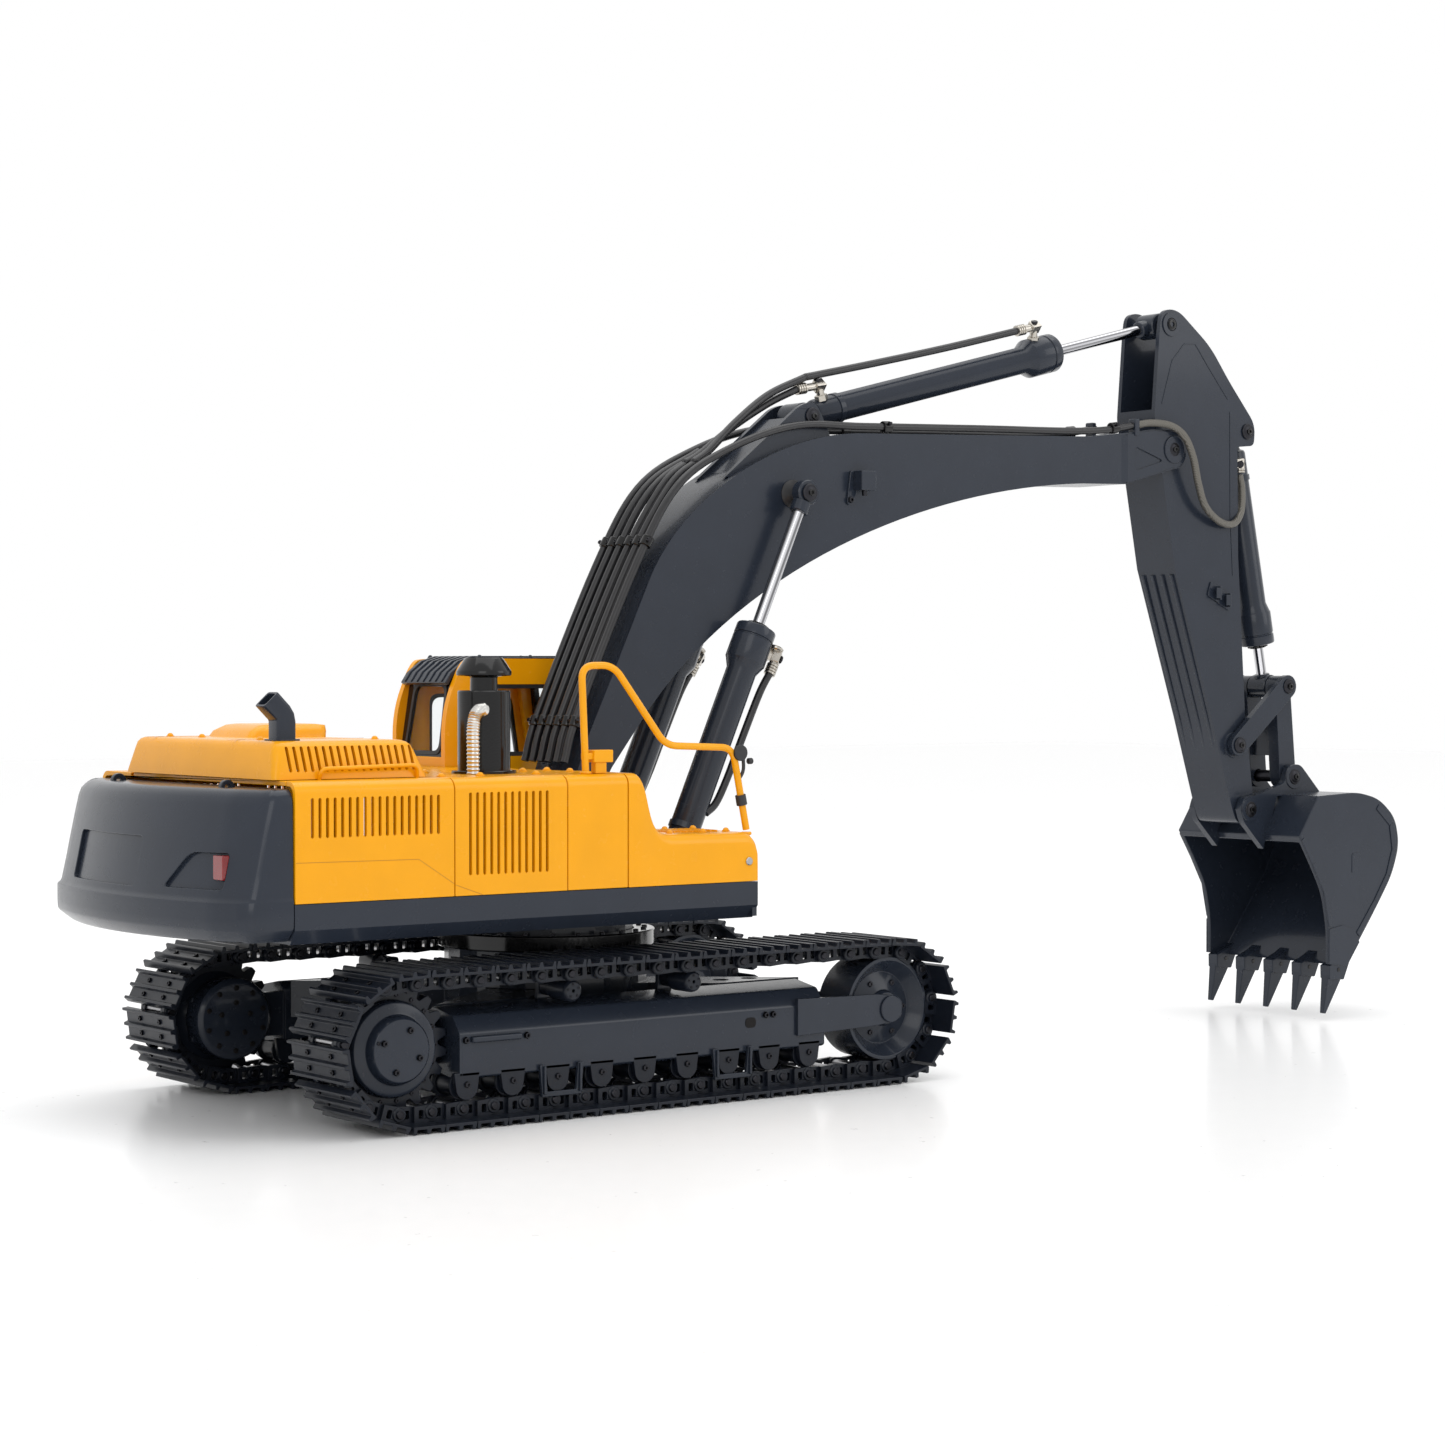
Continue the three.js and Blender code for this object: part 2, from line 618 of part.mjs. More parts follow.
function boom() {
  const slot = block([424, 490], [-armHalf - 0.5, armHalf + 0.5], [330, 400]);
  const drain = shaftZ(250, 0, 5, 300, 340, 10);
  const spacers = [shaftY(...boomEye, 8, -29, -19), shaftY(...boomEye, 8, 19, 29)];
  const bores = [shaftY(...boomEye, bore, -30, 30)];
  const shell = cut(prismY(boomOutline(), -boomHalf, boomHalf, 7), boomHollow(), slot, drain);
  return cut(join(shell, ...spacers, armCylinderBracket(11.6, 15), armCylinderBracket(-15, -11.6)), ...bores);
}

// hydraulic hoses along the boom's back, held together by clamps; only the outer two run on to the
// boom's tip, beside the arm cylinder
function boomHoses() {
  const shared = [[-1, 178], [8, 205], [47, 287], [76, 332], [114, 355]];
  const onward = [[160, 369.5], [212, 371.5], [300, 374.5], [392, 377.5], [432, 382.5]];
  const section = new THREE.Shape();
  section.absarc(0, 0, hoseRadius, 0, 2 * Math.PI);
  const hoses = hosePlaces.map((y, i) => {
    const outermost = i === 0 || i === hosePlaces.length - 1;
    const route = outermost ? [...shared, ...onward] : shared;
    const path = new THREE.CatmullRomCurve3(route.map(([x, z]) => new THREE.Vector3(x, y, z)));
    const steps = outermost ? 20 : 10;
    return new THREE.ExtrudeGeometry(section, { steps, extrudePath: path, curveSegments: 2 });
  });
  const reach = hosePlaces.at(-1) + hoseRadius;
  const clamps = hoseClamps.map(([x, z, lean]) =>
    block([-4, 4], [-reach, reach], [-hoseRadius, hoseRadius + 1]).rotateY(-lean).translate(x, 0, z));
  return join(...hoses, ...clamps);
}

// ---------------------------------------------------------------- arm
function armOutline() {
  const [px, pz] = armEye;
  const [kx, kz] = bucketPivot;
  return withHoles(
    outline([[px - 10, pz - 4], [px - 8, pz + 9, 6], [px + 6, pz + 10, 5], [503, 437, 8], [520, 416, 8],
      [543.5, 388, 5], [543, 377, 3], [528, 374], [529, 302], [536, 197], [543.5, 146], [kx + 8, kz - 9, 6],
      [kx - 6, kz - 10, 6], [kx - 11, kz + 2, 4], [505, 197], [471, 294], [452.5, 390]]),
    [...armPivot, bore],
    [kx, kz, bore],
    [...linkBase, bore],
    [...bucketBase, bore],
  );
}

// channel between the two plates at the top, and the hollow of the box section below it
function armHollow() {
  const shape = outline([[440, 400], [440, 470], [485, 470], [512, 414], [521, 395], [525, 374], [525, 302],
    [530, 205], [516, 200], [478, 294], [466, 345], [480, 352], [484, 372], [474, 388], [458, 392]]);
  return prismY(shape, -armHalf + 3, armHalf - 3);
}

function arm() {
  const eyeSlot = block([522, 560], [-8.4, 8.4], [366, 400]);
  const stubs = [[-14.5, -8.6], [8.6, 14.5]].map(([low, high]) => shaftY(...armEye, 5, low, high, 14));
  const bosses = [shaftY(...linkBase, 6.5, -armHalf - 0.6, armHalf + 0.6, 14)];
  const shell = cut(join(prismY(armOutline(), -armHalf, armHalf), ...bosses), armHollow(), eyeSlot);
  return cut(join(shell, ...stubs), shaftY(...linkBase, bore, -20, 20, 14));
}

// ---------------------------------------------------------------- bucket and its linkage
function bucketShell() {
  const side = outline([[547, 121], [558, 104, 6], [570, 84, 9], [575, 60, 9], [575, 37], [592, 35],
    [620, 70, 12], [637, 93, 9], [644, 113, 8], [640, 131, 8], [624, 144, 9], [603, 148.6, 8], [565, 147]]);
  const room = outline([[520, 117], [556, 117], [568.5, 142], [602, 143.6, 6], [621, 139.4, 8], [635, 127, 6],
    [638.6, 113, 6], [632, 95, 9], [615.6, 73, 12], [589, 38.5], [588, 20], [520, 20]]);
  return cut(prismY(side, -bucketHalf, bucketHalf), prismY(room, -bucketHalf + 3, bucketHalf - 3));
}

function bucketTooth(y) {
  const shape = outline([[573, 5], [575.5, 4.6], [596, 39], [592.5, 43.5], [587, 40], [576, 36]]);
  return prismY(shape, y - 4.2, y + 4.2);
}

function bucketEar(low, high) {
  const [kx, kz] = bucketPivot;
  const [ux, uz] = linkBucket;
  const shape = outline([[kx - 9, kz], [kx - 6, kz + 8, 4], [kx + 6, kz + 9, 4], [ux - 9, uz - 4, 3],
    [ux - 5, uz + 8, 5], [ux + 6, uz + 8, 4], [602, 147], [560, 146], [547, 112], [kx - 6, kz - 8, 3]]);
  return prismY(withHoles(shape, [kx, kz, bore], [ux, uz, bore]), low, high);
}

function bucket() {
  const places = [-2, -1, 0, 1, 2].map((i) => i * (bucketHalf - 4.2) / 2);
  return join(bucketShell(), ...places.map(bucketTooth), bucketEar(18.4, 23), bucketEar(-23, -18.4));
}

function bucketLink() {
  const open = [...linkBucket, pinRadius + 2.2];
  const sideBars = [[8.4, 17.6], [-17.6, -8.4]].map(([low, high]) =>
    prismY(bar(linkTop, linkBucket, 7, 7.6, [...linkTop, bore], open), low, high));
  const middle = [(linkTop[0] + linkBucket[0]) / 2, (linkTop[1] + linkBucket[1]) / 2];
  const web = block([middle[0] - 3, middle[0] + 4], [-9, 9], [middle[1] - 16, middle[1] + 8]);
  return join(...sideBars, web);
}

// ---------------------------------------------------------------- hydraulic cylinders
// Each cylinder lies along +x from its base eye at the origin, and is placed by a group.
const cylinders = {
  boom: { barrel: 8.7, gland: 11.6, rod: 3.5, glandEnd: 154, tubeStart: 13.5, eye: 7.8, eyeHalf: 3.5 },
  arm: { barrel: 8.3, gland: 12, rod: 3.3, glandEnd: 209, tubeStart: 12, eye: 8.6, eyeHalf: 8 },
  bucket: { barrel: 9.2, gland: 11.4, rod: 3.3, glandEnd: 141, tubeStart: 12, eye: 8.2, eyeHalf: 7.8 },
};

function barrel({ barrel: radius, gland, rod, glandEnd, tubeStart, eye, eyeHalf }, baseBore) {
  const room = radius - 2;
  const mouth = rod + gap;
  const neck = Math.min(eye - 1, eyeHalf);
  const section = [[0, 5], [neck, 5], [neck, tubeStart], [radius, tubeStart + 2], [radius, glandEnd - 26],
    [gland, glandEnd - 23], [gland, glandEnd - 4], [gland - 3, glandEnd], [mouth, glandEnd],
    [mouth, glandEnd - 10], [room, glandEnd - 10], [room, tubeStart + 6], [0, tubeStart + 6]];
  const tube = turned(section, 14).rotateZ(-Math.PI / 2);
  const lug = shaftY(0, 0, eye, -eyeHalf, eyeHalf, 14);
  return cut(join(tube, lug), shaftY(0, 0, baseBore, -20, 20, 12));
}

function rod({ rod: radius, eyeHalf }, inner, reach, eye, eyeBore) {
  const shaft = turned([[0, inner], [radius, inner], [radius, reach - eyeBore - 1], [0, reach - eyeBore - 1]], 10)
    .rotateZ(-Math.PI / 2);
  const lug = prismY(withHoles(disc(reach, 0, eye), [reach, 0, eyeBore]), -eyeHalf, eyeHalf, 7);
  return join(shaft, lug);
}

function piston({ barrel: radius, rod }) {
  const outer = radius - 2 - gap;
  return ring([[rod + gap, -4], [outer, -4], [outer, 4], [rod + gap, 4]], 16).rotateZ(-Math.PI / 2);
}

// a group whose +x axis runs from one pivot to the other
function cylinderGroup(group, [ax, az], [bx, bz], y) {
  const placed = new THREE.Group();
  placed.position.set(ax, y, az);
  placed.rotation.y = -Math.atan2(bz - az, bx - ax);
  group.add(placed);
  return { placed, reach: Math.hypot(bx - ax, bz - az) };
}

function addBoomCylinder(group, side) {
  const size = cylinders.boom;
  const { placed, reach } = cylinderGroup(group, boomBase, boomEye, side * boomCylinderPlace);
  const wideBore = pinRadius + 2.2;
  piece(placed, `boom_cylinder_barrel_${sideName(side)}`, barrel({ ...size, eyeHalf: 2.6 }, wideBore), 'slate');
  const shaft = rod(size, 66, reach, 7.4, bore);
  const plunger = turned([[0, 60], [size.barrel - 2 - gap, 60], [size.barrel - 2 - gap, 68], [0, 68]], 16);
  piece(placed, `boom_cylinder_rod_${sideName(side)}`, join(shaft, plunger.rotateZ(-Math.PI / 2)), 'steel');
}

function addStagedCylinder(group, name, from, to, pistonPlace, rodInner, eye) {
  const size = cylinders[name];
  const { placed, reach } = cylinderGroup(group, from, to, 0);
  piece(placed, `${name}_cylinder_barrel`, barrel(size, bore), 'slate');
  piece(placed, `${name}_cylinder_rod`, rod(size, rodInner, reach, eye, 4.4), 'steel');
  piece(placed, `${name}_cylinder_piston`, piston(size), 'steel', pistonPlace, 0, 0);
}

// ---------------------------------------------------------------- pins of the digging gear
function addPin(group, name, [x, z], low, high) {
  piece(group, name, shaftY(0, 0, pinRadius, low, high, 12), 'black', x, 0, z);
}

function addDiggingGear(group) {
  piece(group, 'boom', boom(), 'slate');
  piece(group, 'boom_hoses', boomHoses(), 'black');
  piece(group, 'arm', arm(), 'slate');
  piece(group, 'bucket', bucket(), 'slate');
  piece(group, 'bucket_link', bucketLink(), 'slate');
  for (const side of [1, -1]) {
    const [low, high] = [side * 18.4, side * 22.6].sort((a, b) => a - b);
    const link = bar(linkBase, linkTop, 7, 7.4, [...linkBase, bore], [...linkTop, bore]);
    piece(group, `side_link_${sideName(side)}`, prismY(link, low, high), 'slate');
    const [inner, outer] = [side * 8, side * 24].sort((a, b) => a - b);
    addPin(group, `link_top_pin_${sideName(side)}`, linkTop, inner, outer);
    addBoomCylinder(group, side);
  }
  addPin(group, 'boom_foot_pin', boomFoot, -27.5, 27.5);
  addPin(group, 'boom_rod_pin', boomEye, -39, 39);
  addPin(group, 'arm_pivot_pin', armPivot, -23.5, 23.5);
  addPin(group, 'arm_base_pin', armBase, -17, 17);
  addPin(group, 'bucket_pivot_pin', bucketPivot, -25, 25);
  addPin(group, 'link_base_pin', linkBase, -24.5, 24.5);
  addPin(group, 'bucket_link_pin', linkBucket, -25, 25);
  addPin(group, 'bucket_base_pin', bucketBase, -19, 19);
  addStagedCylinder(group, 'arm', armBase, armEye, 130, 84, 8);
  addStagedCylinder(group, 'bucket', bucketBase, linkTop, 70, 38, 7.6);
}

// ---------------------------------------------------------------- assembly
function addHouse(group) {
  piece(group, 'revolving_frame', revolvingFrame(), 'slate');
  piece(group, 'counterweight', counterweight(), 'slate');
  piece(group, 'upper_deck', upperDeck(), 'yellow');
  piece(group, 'tool_box', toolBox(), 'yellow');
  piece(group, 'rear_door_left', rearDoor(1), 'yellow');
  piece(group, 'rear_door_right', rearDoor(-1), 'yellow');
  piece(group, 'middle_door_right', middleDoor(), 'yellow');
  piece(group, 'engine_hood', engineHood(), 'yellow');
  piece(group, 'exhaust_stack', exhaustStack(), 'slate');
  piece(group, 'muffler', muffler(), 'black', -76, -56, bodyTop + gap);
  piece(group, 'handrail', handrail(), 'yellow');
  piece(group, 'cab_frame', cabFrame(), 'yellow');
  piece(group, 'cab_door', cabDoor(), 'yellow');
  addEquipment(group);
}

const machine = new THREE.Group();
piece(machine, 'chassis_frame', chassisFrame(), 'slate');
piece(machine, 'slew_ring_outer', slewRingOuter(), 'steel');
addTrack(machine, 1);
addTrack(machine, -1);
addHouse(machine);
addDiggingGear(machine);

const footprint = new THREE.Box3().setFromObject(machine, true);
machine.position.x = -(footprint.min.x + footprint.max.x) / 2;

export default machine;
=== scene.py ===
"""Looks of a radio controlled excavator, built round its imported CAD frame.

Shapes are given in millimetres in the machine's own frame: x = 0 is the slewing axis, +x points to the
bucket, +y to the cab side and z = 0 is the ground. mesh_object() turns them into the row's metres.
"""
import json
import math
from functools import partial

import bmesh
import bpy
from mathutils import Matrix, Vector
from mathutils.geometry import tessellate_polygon


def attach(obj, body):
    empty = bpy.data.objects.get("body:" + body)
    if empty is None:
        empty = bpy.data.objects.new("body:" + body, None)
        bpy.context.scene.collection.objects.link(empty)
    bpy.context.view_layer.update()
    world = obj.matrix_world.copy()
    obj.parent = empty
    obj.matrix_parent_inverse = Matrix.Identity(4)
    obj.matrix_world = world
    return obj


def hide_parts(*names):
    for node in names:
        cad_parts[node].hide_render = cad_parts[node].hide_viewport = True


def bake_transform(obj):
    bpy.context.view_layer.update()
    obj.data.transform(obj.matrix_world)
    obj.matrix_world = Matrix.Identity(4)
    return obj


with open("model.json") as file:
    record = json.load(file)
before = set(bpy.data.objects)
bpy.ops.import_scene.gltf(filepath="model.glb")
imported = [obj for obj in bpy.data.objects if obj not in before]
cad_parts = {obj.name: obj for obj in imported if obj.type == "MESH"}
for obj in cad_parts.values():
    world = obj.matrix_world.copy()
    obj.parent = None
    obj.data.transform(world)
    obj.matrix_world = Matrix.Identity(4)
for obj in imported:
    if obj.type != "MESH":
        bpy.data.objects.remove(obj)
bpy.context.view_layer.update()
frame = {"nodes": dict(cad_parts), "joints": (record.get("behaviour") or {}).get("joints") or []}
JOINTS = {joint["name"]: joint for joint in frame["joints"]}

# ---------------------------------------------------------------- driving dimensions, millimetres
MM = 0.001
SLEW_X = JOINTS["swing"]["pos_m"][0] / MM
TRACK_CENTRE = 92.0
SHOE_HALF = 28.0
WHEEL_BASE = 315.0
AXLE_HEIGHT = 40.5
PITCH_RADIUS = 32.0
LINK_COUNT = 45
RAIL_MIDDLE = 11.5
ROLLER_FIRST = -118.0
ROLLER_PITCH = 27.4
ROLLER_COUNT = 9
CARRIER_PLACES = {"rear": -53.0, "front": 24.0}
CARRIER_HEIGHT = 63.4
HOUSE_HALF = 106.0
HOUSE_REAR = -215.6
HOUSE_FRONT = 66.0
SKIRT_TOP = 115.0
BODY_TOP = 174.6
DECK_HALF = 97.0
DOOR_SEAMS = (-125.0, -57.0)
BOX_STEP = -19.0
BOX_TOP = 142.0
CAB_REAR = -38.0
CAB_INNER = 44.0
CAB_OUTER = 104.0
CAB_TOP = 235.0
BOOM_HALF = 21.0
ARM_HALF = 17.0
BUCKET_HALF = 54.4
BOOM_CYLINDER_PLACE = 33.0
PANEL = 2.6
GAP = 0.3


def pivot(joint):
    """(x, z) of a hinge, in the machine's millimetres."""
    x, _, z = JOINTS[joint]["pos_m"]
    return x / MM - SLEW_X, z / MM


BOOM_FOOT = pivot("boom_lift")
BOOM_EYE = pivot("boom_rod_swing")
ARM_PIVOT = pivot("arm_swing")
ARM_BASE = pivot("arm_cylinder_swing")
BUCKET_PIVOT = pivot("bucket_curl")
LINK_BASE = pivot("side_links_curl")
LINK_TOP = pivot("bucket_link_curl")
BUCKET_BASE = pivot("bucket_cylinder_swing_curl")
BOOM_BASE = (58.0, 112.0)
ARM_EYE = (467.0, 449.0)
LINK_BUCKET = (576.0, 158.5)


# ---------------------------------------------------------------- shapes: (points, faces)
def joined(*shapes):
    points, faces = [], []
    for more_points, more_faces in shapes:
        start = len(points)
        points.extend(more_points)
        faces.extend(tuple(start + i for i in face) for face in more_faces)
    return points, faces


def moved(shape, x=0.0, y=0.0, z=0.0):
    offset = Vector((x, y, z))
    return [Vector(point) + offset for point in shape[0]], shape[1]


def transformed(shape, matrix):
    return [matrix @ Vector(point) for point in shape[0]], shape[1]


def mirrored(shape):
    """The same shape on the other side of the machine."""
    points = [Vector((x, -y, z)) for x, y, z in shape[0]]
    return points, [tuple(reversed(face)) for face in shape[1]]


def on_side(shape, side):
    return shape if side > 0 else mirrored(shape)


def both_sides(shape):
    return joined(shape, mirrored(shape))


PLACE = {
    "x": lambda a, b, h: Vector((h, a, b)),
    "y": lambda a, b, h: Vector((a, h, b)),
    "z": lambda a, b, h: Vector((a, b, h)),
}


def prism(axis, outline, low, high, holes=()):
    """An outline of the other two axes, from low to high along axis; holes go right through."""
    place = PLACE[axis]
    loops = [list(outline), *[list(hole) for hole in holes]]
    flat = [point for loop in loops for point in loop]
    count = len(flat)
    points = [place(a, b, low) for a, b in flat] + [place(a, b, high) for a, b in flat]
    if holes:
        veils = [[Vector((a, b, 0)) for a, b in loop] for loop in loops]
        caps = [tuple(triangle) for triangle in tessellate_polygon(veils)]
    else:
        caps = [tuple(range(count))]
    faces = [tuple(reversed(cap)) for cap in caps]
    faces += [tuple(count + i for i in cap) for cap in caps]
    start = 0
    for loop in loops:
        size = len(loop)
        for i in range(size):
            a, b = start + i, start + (i + 1) % size
            faces.append((a, b, count + b, count + a))
        start += size
    return points, faces


def block(x, y, z):
    return prism("z", [(x[0], y[0]), (x[1], y[0]), (x[1], y[1]), (x[0], y[1])], z[0], z[1])


def circle(a, b, radius, sides, start=0.0):
    turns = [start + 2 * math.pi * i / sides for i in range(sides)]
    return [(a + radius * math.cos(turn), b + radius * math.sin(turn)) for turn in turns]


def rounded(corners, steps=5):
    """Outline of straight edges; a corner (a, b, r) is rounded by a fillet of reach r."""
    outline = []
    for i, corner in enumerate(corners):
        here = Vector(corner[:2])
        reach = corner[2] if len(corner) > 2 else 0.0
        if not reach:
            outline.append(tuple(here))
            continue
        back = Vector(corners[i - 1][:2]) - here
        ahead = Vector(corners[(i + 1) % len(corners)][:2]) - here
        before = here + back.normalized() * min(reach, back.length * 0.49)
        after = here + ahead.normalized() * min(reach, ahead.length * 0.49)
        for step in range(steps + 1):
            t = step / steps
            outline.append(tuple(before * (1 - t) ** 2 + here * (2 * t * (1 - t)) + after * t**2))
    return outline


def bezier(a, b, c, d, steps):
    """Points of a cubic curve, its first one left out."""
    points = []
    for step in range(1, steps + 1):
        t = step / steps
        s = 1 - t
        points.append(tuple(
            a[k] * s**3 + 3 * b[k] * s * s * t + 3 * c[k] * s * t * t + d[k] * t**3 for k in (0, 1)
        ))
    return points


def arc(centre, radius, start, end, steps=12):
    turns = [math.radians(start + (end - start) * i / steps) for i in range(steps + 1)]
    return [(centre[0] + radius * math.cos(t), centre[1] + radius * math.sin(t)) for t in turns]


def bar(start, end, radius_start, radius_end):
    """Outline of a link with round ends between two points of the x-z plane."""
    heading = math.degrees(math.atan2(end[1] - start[1], end[0] - start[0]))
    return arc(start, radius_start, heading + 90, heading + 270) + arc(
        end, radius_end, heading - 90, heading + 90
    )


def frame_along(direction):
    """Matrix whose x axis points along direction."""
    x = Vector(direction).normalized()
    side = Vector((0, 1, 0)) if abs(x.y) < 0.9 else Vector((0, 0, 1))
    z = x.cross(side).normalized()
    y = z.cross(x)
    return Matrix((x, y, z)).transposed().to_4x4()


def turned(profile, start, direction, sides):
    """A turned piece: profile holds (distance along direction, radius)."""
    turn = Matrix.Translation(Vector(start)) @ frame_along(direction)
    points, faces = [], []
    for along, radius in profile:
        for i in range(sides):
            angle = 2 * math.pi * i / sides
            local = Vector((along, radius * math.cos(angle), radius * math.sin(angle)))
            points.append(turn @ local)
    for level in range(len(profile) - 1):
        for i in range(sides):
            j = (i + 1) % sides
            a, b = level * sides, (level + 1) * sides
            faces.append((a + i, a + j, b + j, b + i))
    faces.append(tuple(reversed(range(sides))))
    last = (len(profile) - 1) * sides
    faces.append(tuple(last + i for i in range(sides)))
    return points, faces


def ring(profile, start, direction, sides):
    """A closed ring of revolution given by its section's corners."""
    points, faces = turned([*profile, profile[0]], start, direction, sides)
    return points, faces[:-2]


def disc(centre, direction, radius, length, sides, edge=0.4):
    """A short round piece with eased edges."""
    profile = [(0, radius - edge), (edge, radius), (length - edge, radius), (length, radius - edge)]
    return turned(profile, centre, direction, sides)


def ridge(points, width, low, high):
    """Raised line along a side plate, following points of the x-z plane."""
    shapes = []
    for (ax, az), (bx, bz) in zip(points, points[1:]):
        across = Vector((az - bz, bx - ax)).normalized() * width / 2
        outline = [(ax - across.x, az - across.y), (bx - across.x, bz - across.y),
                   (bx + across.x, bz + across.y), (ax + across.x, az + across.y)]
        shapes.append(prism("y", outline, low, high))
    return joined(*shapes)


def bolt(centre, direction, radius, height, sides=6):
    """Hexagon or round head with a socket in it."""
    profile = [(-0.2, radius), (height * 0.8, radius), (height, radius * 0.85), (height, radius * 0.5),
               (height * 0.45, radius * 0.45)]
    return turned(profile, centre, direction, sides)


def smooth_path(points, steps):
    """Centripetal spline through the points, as a closely spaced list."""
    points = [Vector(point) for point in points]
    padded = [points[0] * 2 - points[1], *points, points[-1] * 2 - points[-2]]
    path = []
    for p0, p1, p2, p3 in zip(padded, padded[1:], padded[2:], padded[3:]):
        for step in range(steps):
            t = step / steps
            path.append(0.5 * (
                2 * p1 + (p2 - p0) * t + (2 * p0 - 5 * p1 + 4 * p2 - p3) * t * t
                + (3 * p1 - p0 - 3 * p2 + p3) * t**3
            ))
    path.append(points[-1])
    return path


def tube(path, radius, sides):
    """A round tube along a path; radius is a number, or a function of the share of the way."""
    path = [Vector(point) for point in path]
    points, faces = [], []
    normal = Vector((0, 1, 0)) if abs((path[1] - path[0]).normalized().y) < 0.9 else Vector((1, 0, 0))
    for i, centre in enumerate(path):
        ahead = path[min(i + 1, len(path) - 1)] - path[max(i - 1, 0)]
        tangent = ahead.normalized()
        normal = (normal - tangent * normal.dot(tangent)).normalized()
        across = tangent.cross(normal)
        size = radius(i / (len(path) - 1)) if callable(radius) else radius
        for k in range(sides):
            angle = 2 * math.pi * k / sides
            points.append(centre + (normal * math.cos(angle) + across * math.sin(angle)) * size)
    for i in range(len(path) - 1):
        for k in range(sides):
            a, b = i * sides + k, i * sides + (k + 1) % sides
            faces.append((a, b, b + sides, a + sides))
    faces.append(tuple(reversed(range(sides))))
    last = (len(path) - 1) * sides
    faces.append(tuple(last + k for k in range(sides)))
    return points, faces


def skinned(rings):
    """A closed body through cross-sections of equal length, capped at both ends."""
    count = len(rings[0])
    points = [Vector(point) for section in rings for point in section]
    faces = []
    for level in range(len(rings) - 1):
        for i in range(count):
            a, b = level * count + i, level * count + (i + 1) % count
            faces.append((a, b, b + count, a + count))
    last = (len(rings) - 1) * count
    faces.append(tuple(reversed(range(count))))
    faces.append(tuple(last + i for i in range(count)))
    return points, faces


def bent_path(corners, reach, steps=5):
    """Straight runs joined by bends that begin at this reach from each corner."""
    corners = [Vector(corner) for corner in corners]
    path = [corners[0]]
    for before, here, after in zip(corners, corners[1:], corners[2:]):
        start = here + (before - here).normalized() * reach
        end = here + (after - here).normalized() * reach
        for step in range(steps + 1):
            t = step / steps
            path.append(start * (1 - t) ** 2 + here * (2 * t * (1 - t)) + end * t**2)
    path.append(corners[-1])
    return path


# ---------------------------------------------------------------- making objects
def make(node, body, name, material, *shapes, cuts=(), bevel=0.0, segments=2, angle=35, sharp=35):
    """One mesh object of these shapes, riding on a body in a CAD node's place; cuts are taken out of it."""
    piece = mesh_object(name, *shapes)
    for i, cut in enumerate(cuts):
        carve(piece, mesh_object(f"{name}_cut_{i}", cut))
    piece.data.shade_smooth()
    piece.data.set_sharp_from_angle(angle=math.radians(sharp))
    piece.data.materials.append(material)
    if bevel:
        ease_edges(piece, bevel, segments, angle)
    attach(piece, body)
    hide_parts(node)


def part(node, body):
    """make() for the pieces that ride on one body and together stand for one CAD node."""
    return partial(make, node, body)


def mesh_object(name, *shapes):
    points, faces = joined(*shapes)
    mesh = bpy.data.meshes.new(name)
    mesh.from_pydata([((p[0] + SLEW_X) * MM, p[1] * MM, p[2] * MM) for p in points], [], faces)
    solid = bmesh.new()
    solid.from_mesh(mesh)
    bmesh.ops.remove_doubles(solid, verts=solid.verts, dist=1e-6)
    bmesh.ops.recalc_face_normals(solid, faces=solid.faces)
    solid.to_mesh(mesh)
    solid.free()
    piece = bpy.data.objects.new(name, mesh)
    bpy.context.scene.collection.objects.link(piece)
    return piece


def carve(piece, cutter):
    """Takes the cutter out of the piece's mesh, and the cutter out of the scene."""
    modifier = piece.modifiers.new("cut", "BOOLEAN")
    modifier.operation = "DIFFERENCE"
    modifier.solver = "EXACT"
    modifier.object = cutter
    carved = bpy.data.meshes.new_from_object(piece.evaluated_get(bpy.context.evaluated_depsgraph_get()))
    piece.modifiers.clear()
    piece.data = carved
    bpy.data.objects.remove(cutter)


def ease_edges(piece, width, segments=2, angle=35):
    modifier = piece.modifiers.new("eased_edges", "BEVEL")
    modifier.width = width * MM
    modifier.segments = segments
    modifier.limit_method = "ANGLE"
    modifier.angle_limit = math.radians(angle)
    modifier.harden_normals = True
    modifier.use_clamp_overlap = True


def keep_node(node, material, bevel):
    """A CAD node that stays, with its own material and eased edges."""
    piece = frame["nodes"][node]
    piece.data.materials.clear()
    piece.data.materials.append(material)
    weld = piece.modifiers.new("weld", "WELD")
    weld.merge_threshold = 0.00001
    if bevel:
        ease_edges(piece, bevel)
    return piece


# ---------------------------------------------------------------- materials
def new_material(name):
    material = bpy.data.materials.new(name)
    material.use_nodes = True
    tree = material.node_tree
    shader = tree.nodes["Principled BSDF"]
    place = tree.nodes.new("ShaderNodeTexCoord")
    return material, tree, shader, place.outputs["Object"]


def noise(tree, place, scale, detail=3.0):
    node = tree.nodes.new("ShaderNodeTexNoise")
    node.inputs["Scale"].default_value = scale
    node.inputs["Detail"].default_value = detail
    tree.links.new(place, node.inputs["Vector"])
    return node.outputs["Fac"]


def spread(tree, value, low, high):
    node = tree.nodes.new("ShaderNodeMapRange")
    node.inputs["To Min"].default_value = low
    node.inputs["To Max"].default_value = high
    tree.links.new(value, node.inputs["Value"])
    return node.outputs["Result"]


def two_tones(tree, value, dark, light):
    ramp = tree.nodes.new("ShaderNodeValToRGB")
    ramp.color_ramp.elements[0].position = 0.3
    ramp.color_ramp.elements[0].color = (*dark, 1)
    ramp.color_ramp.elements[1].position = 0.7
    ramp.color_ramp.elements[1].color = (*light, 1)
    tree.links.new(value, ramp.inputs["Fac"])
    return ramp.outputs["Color"]


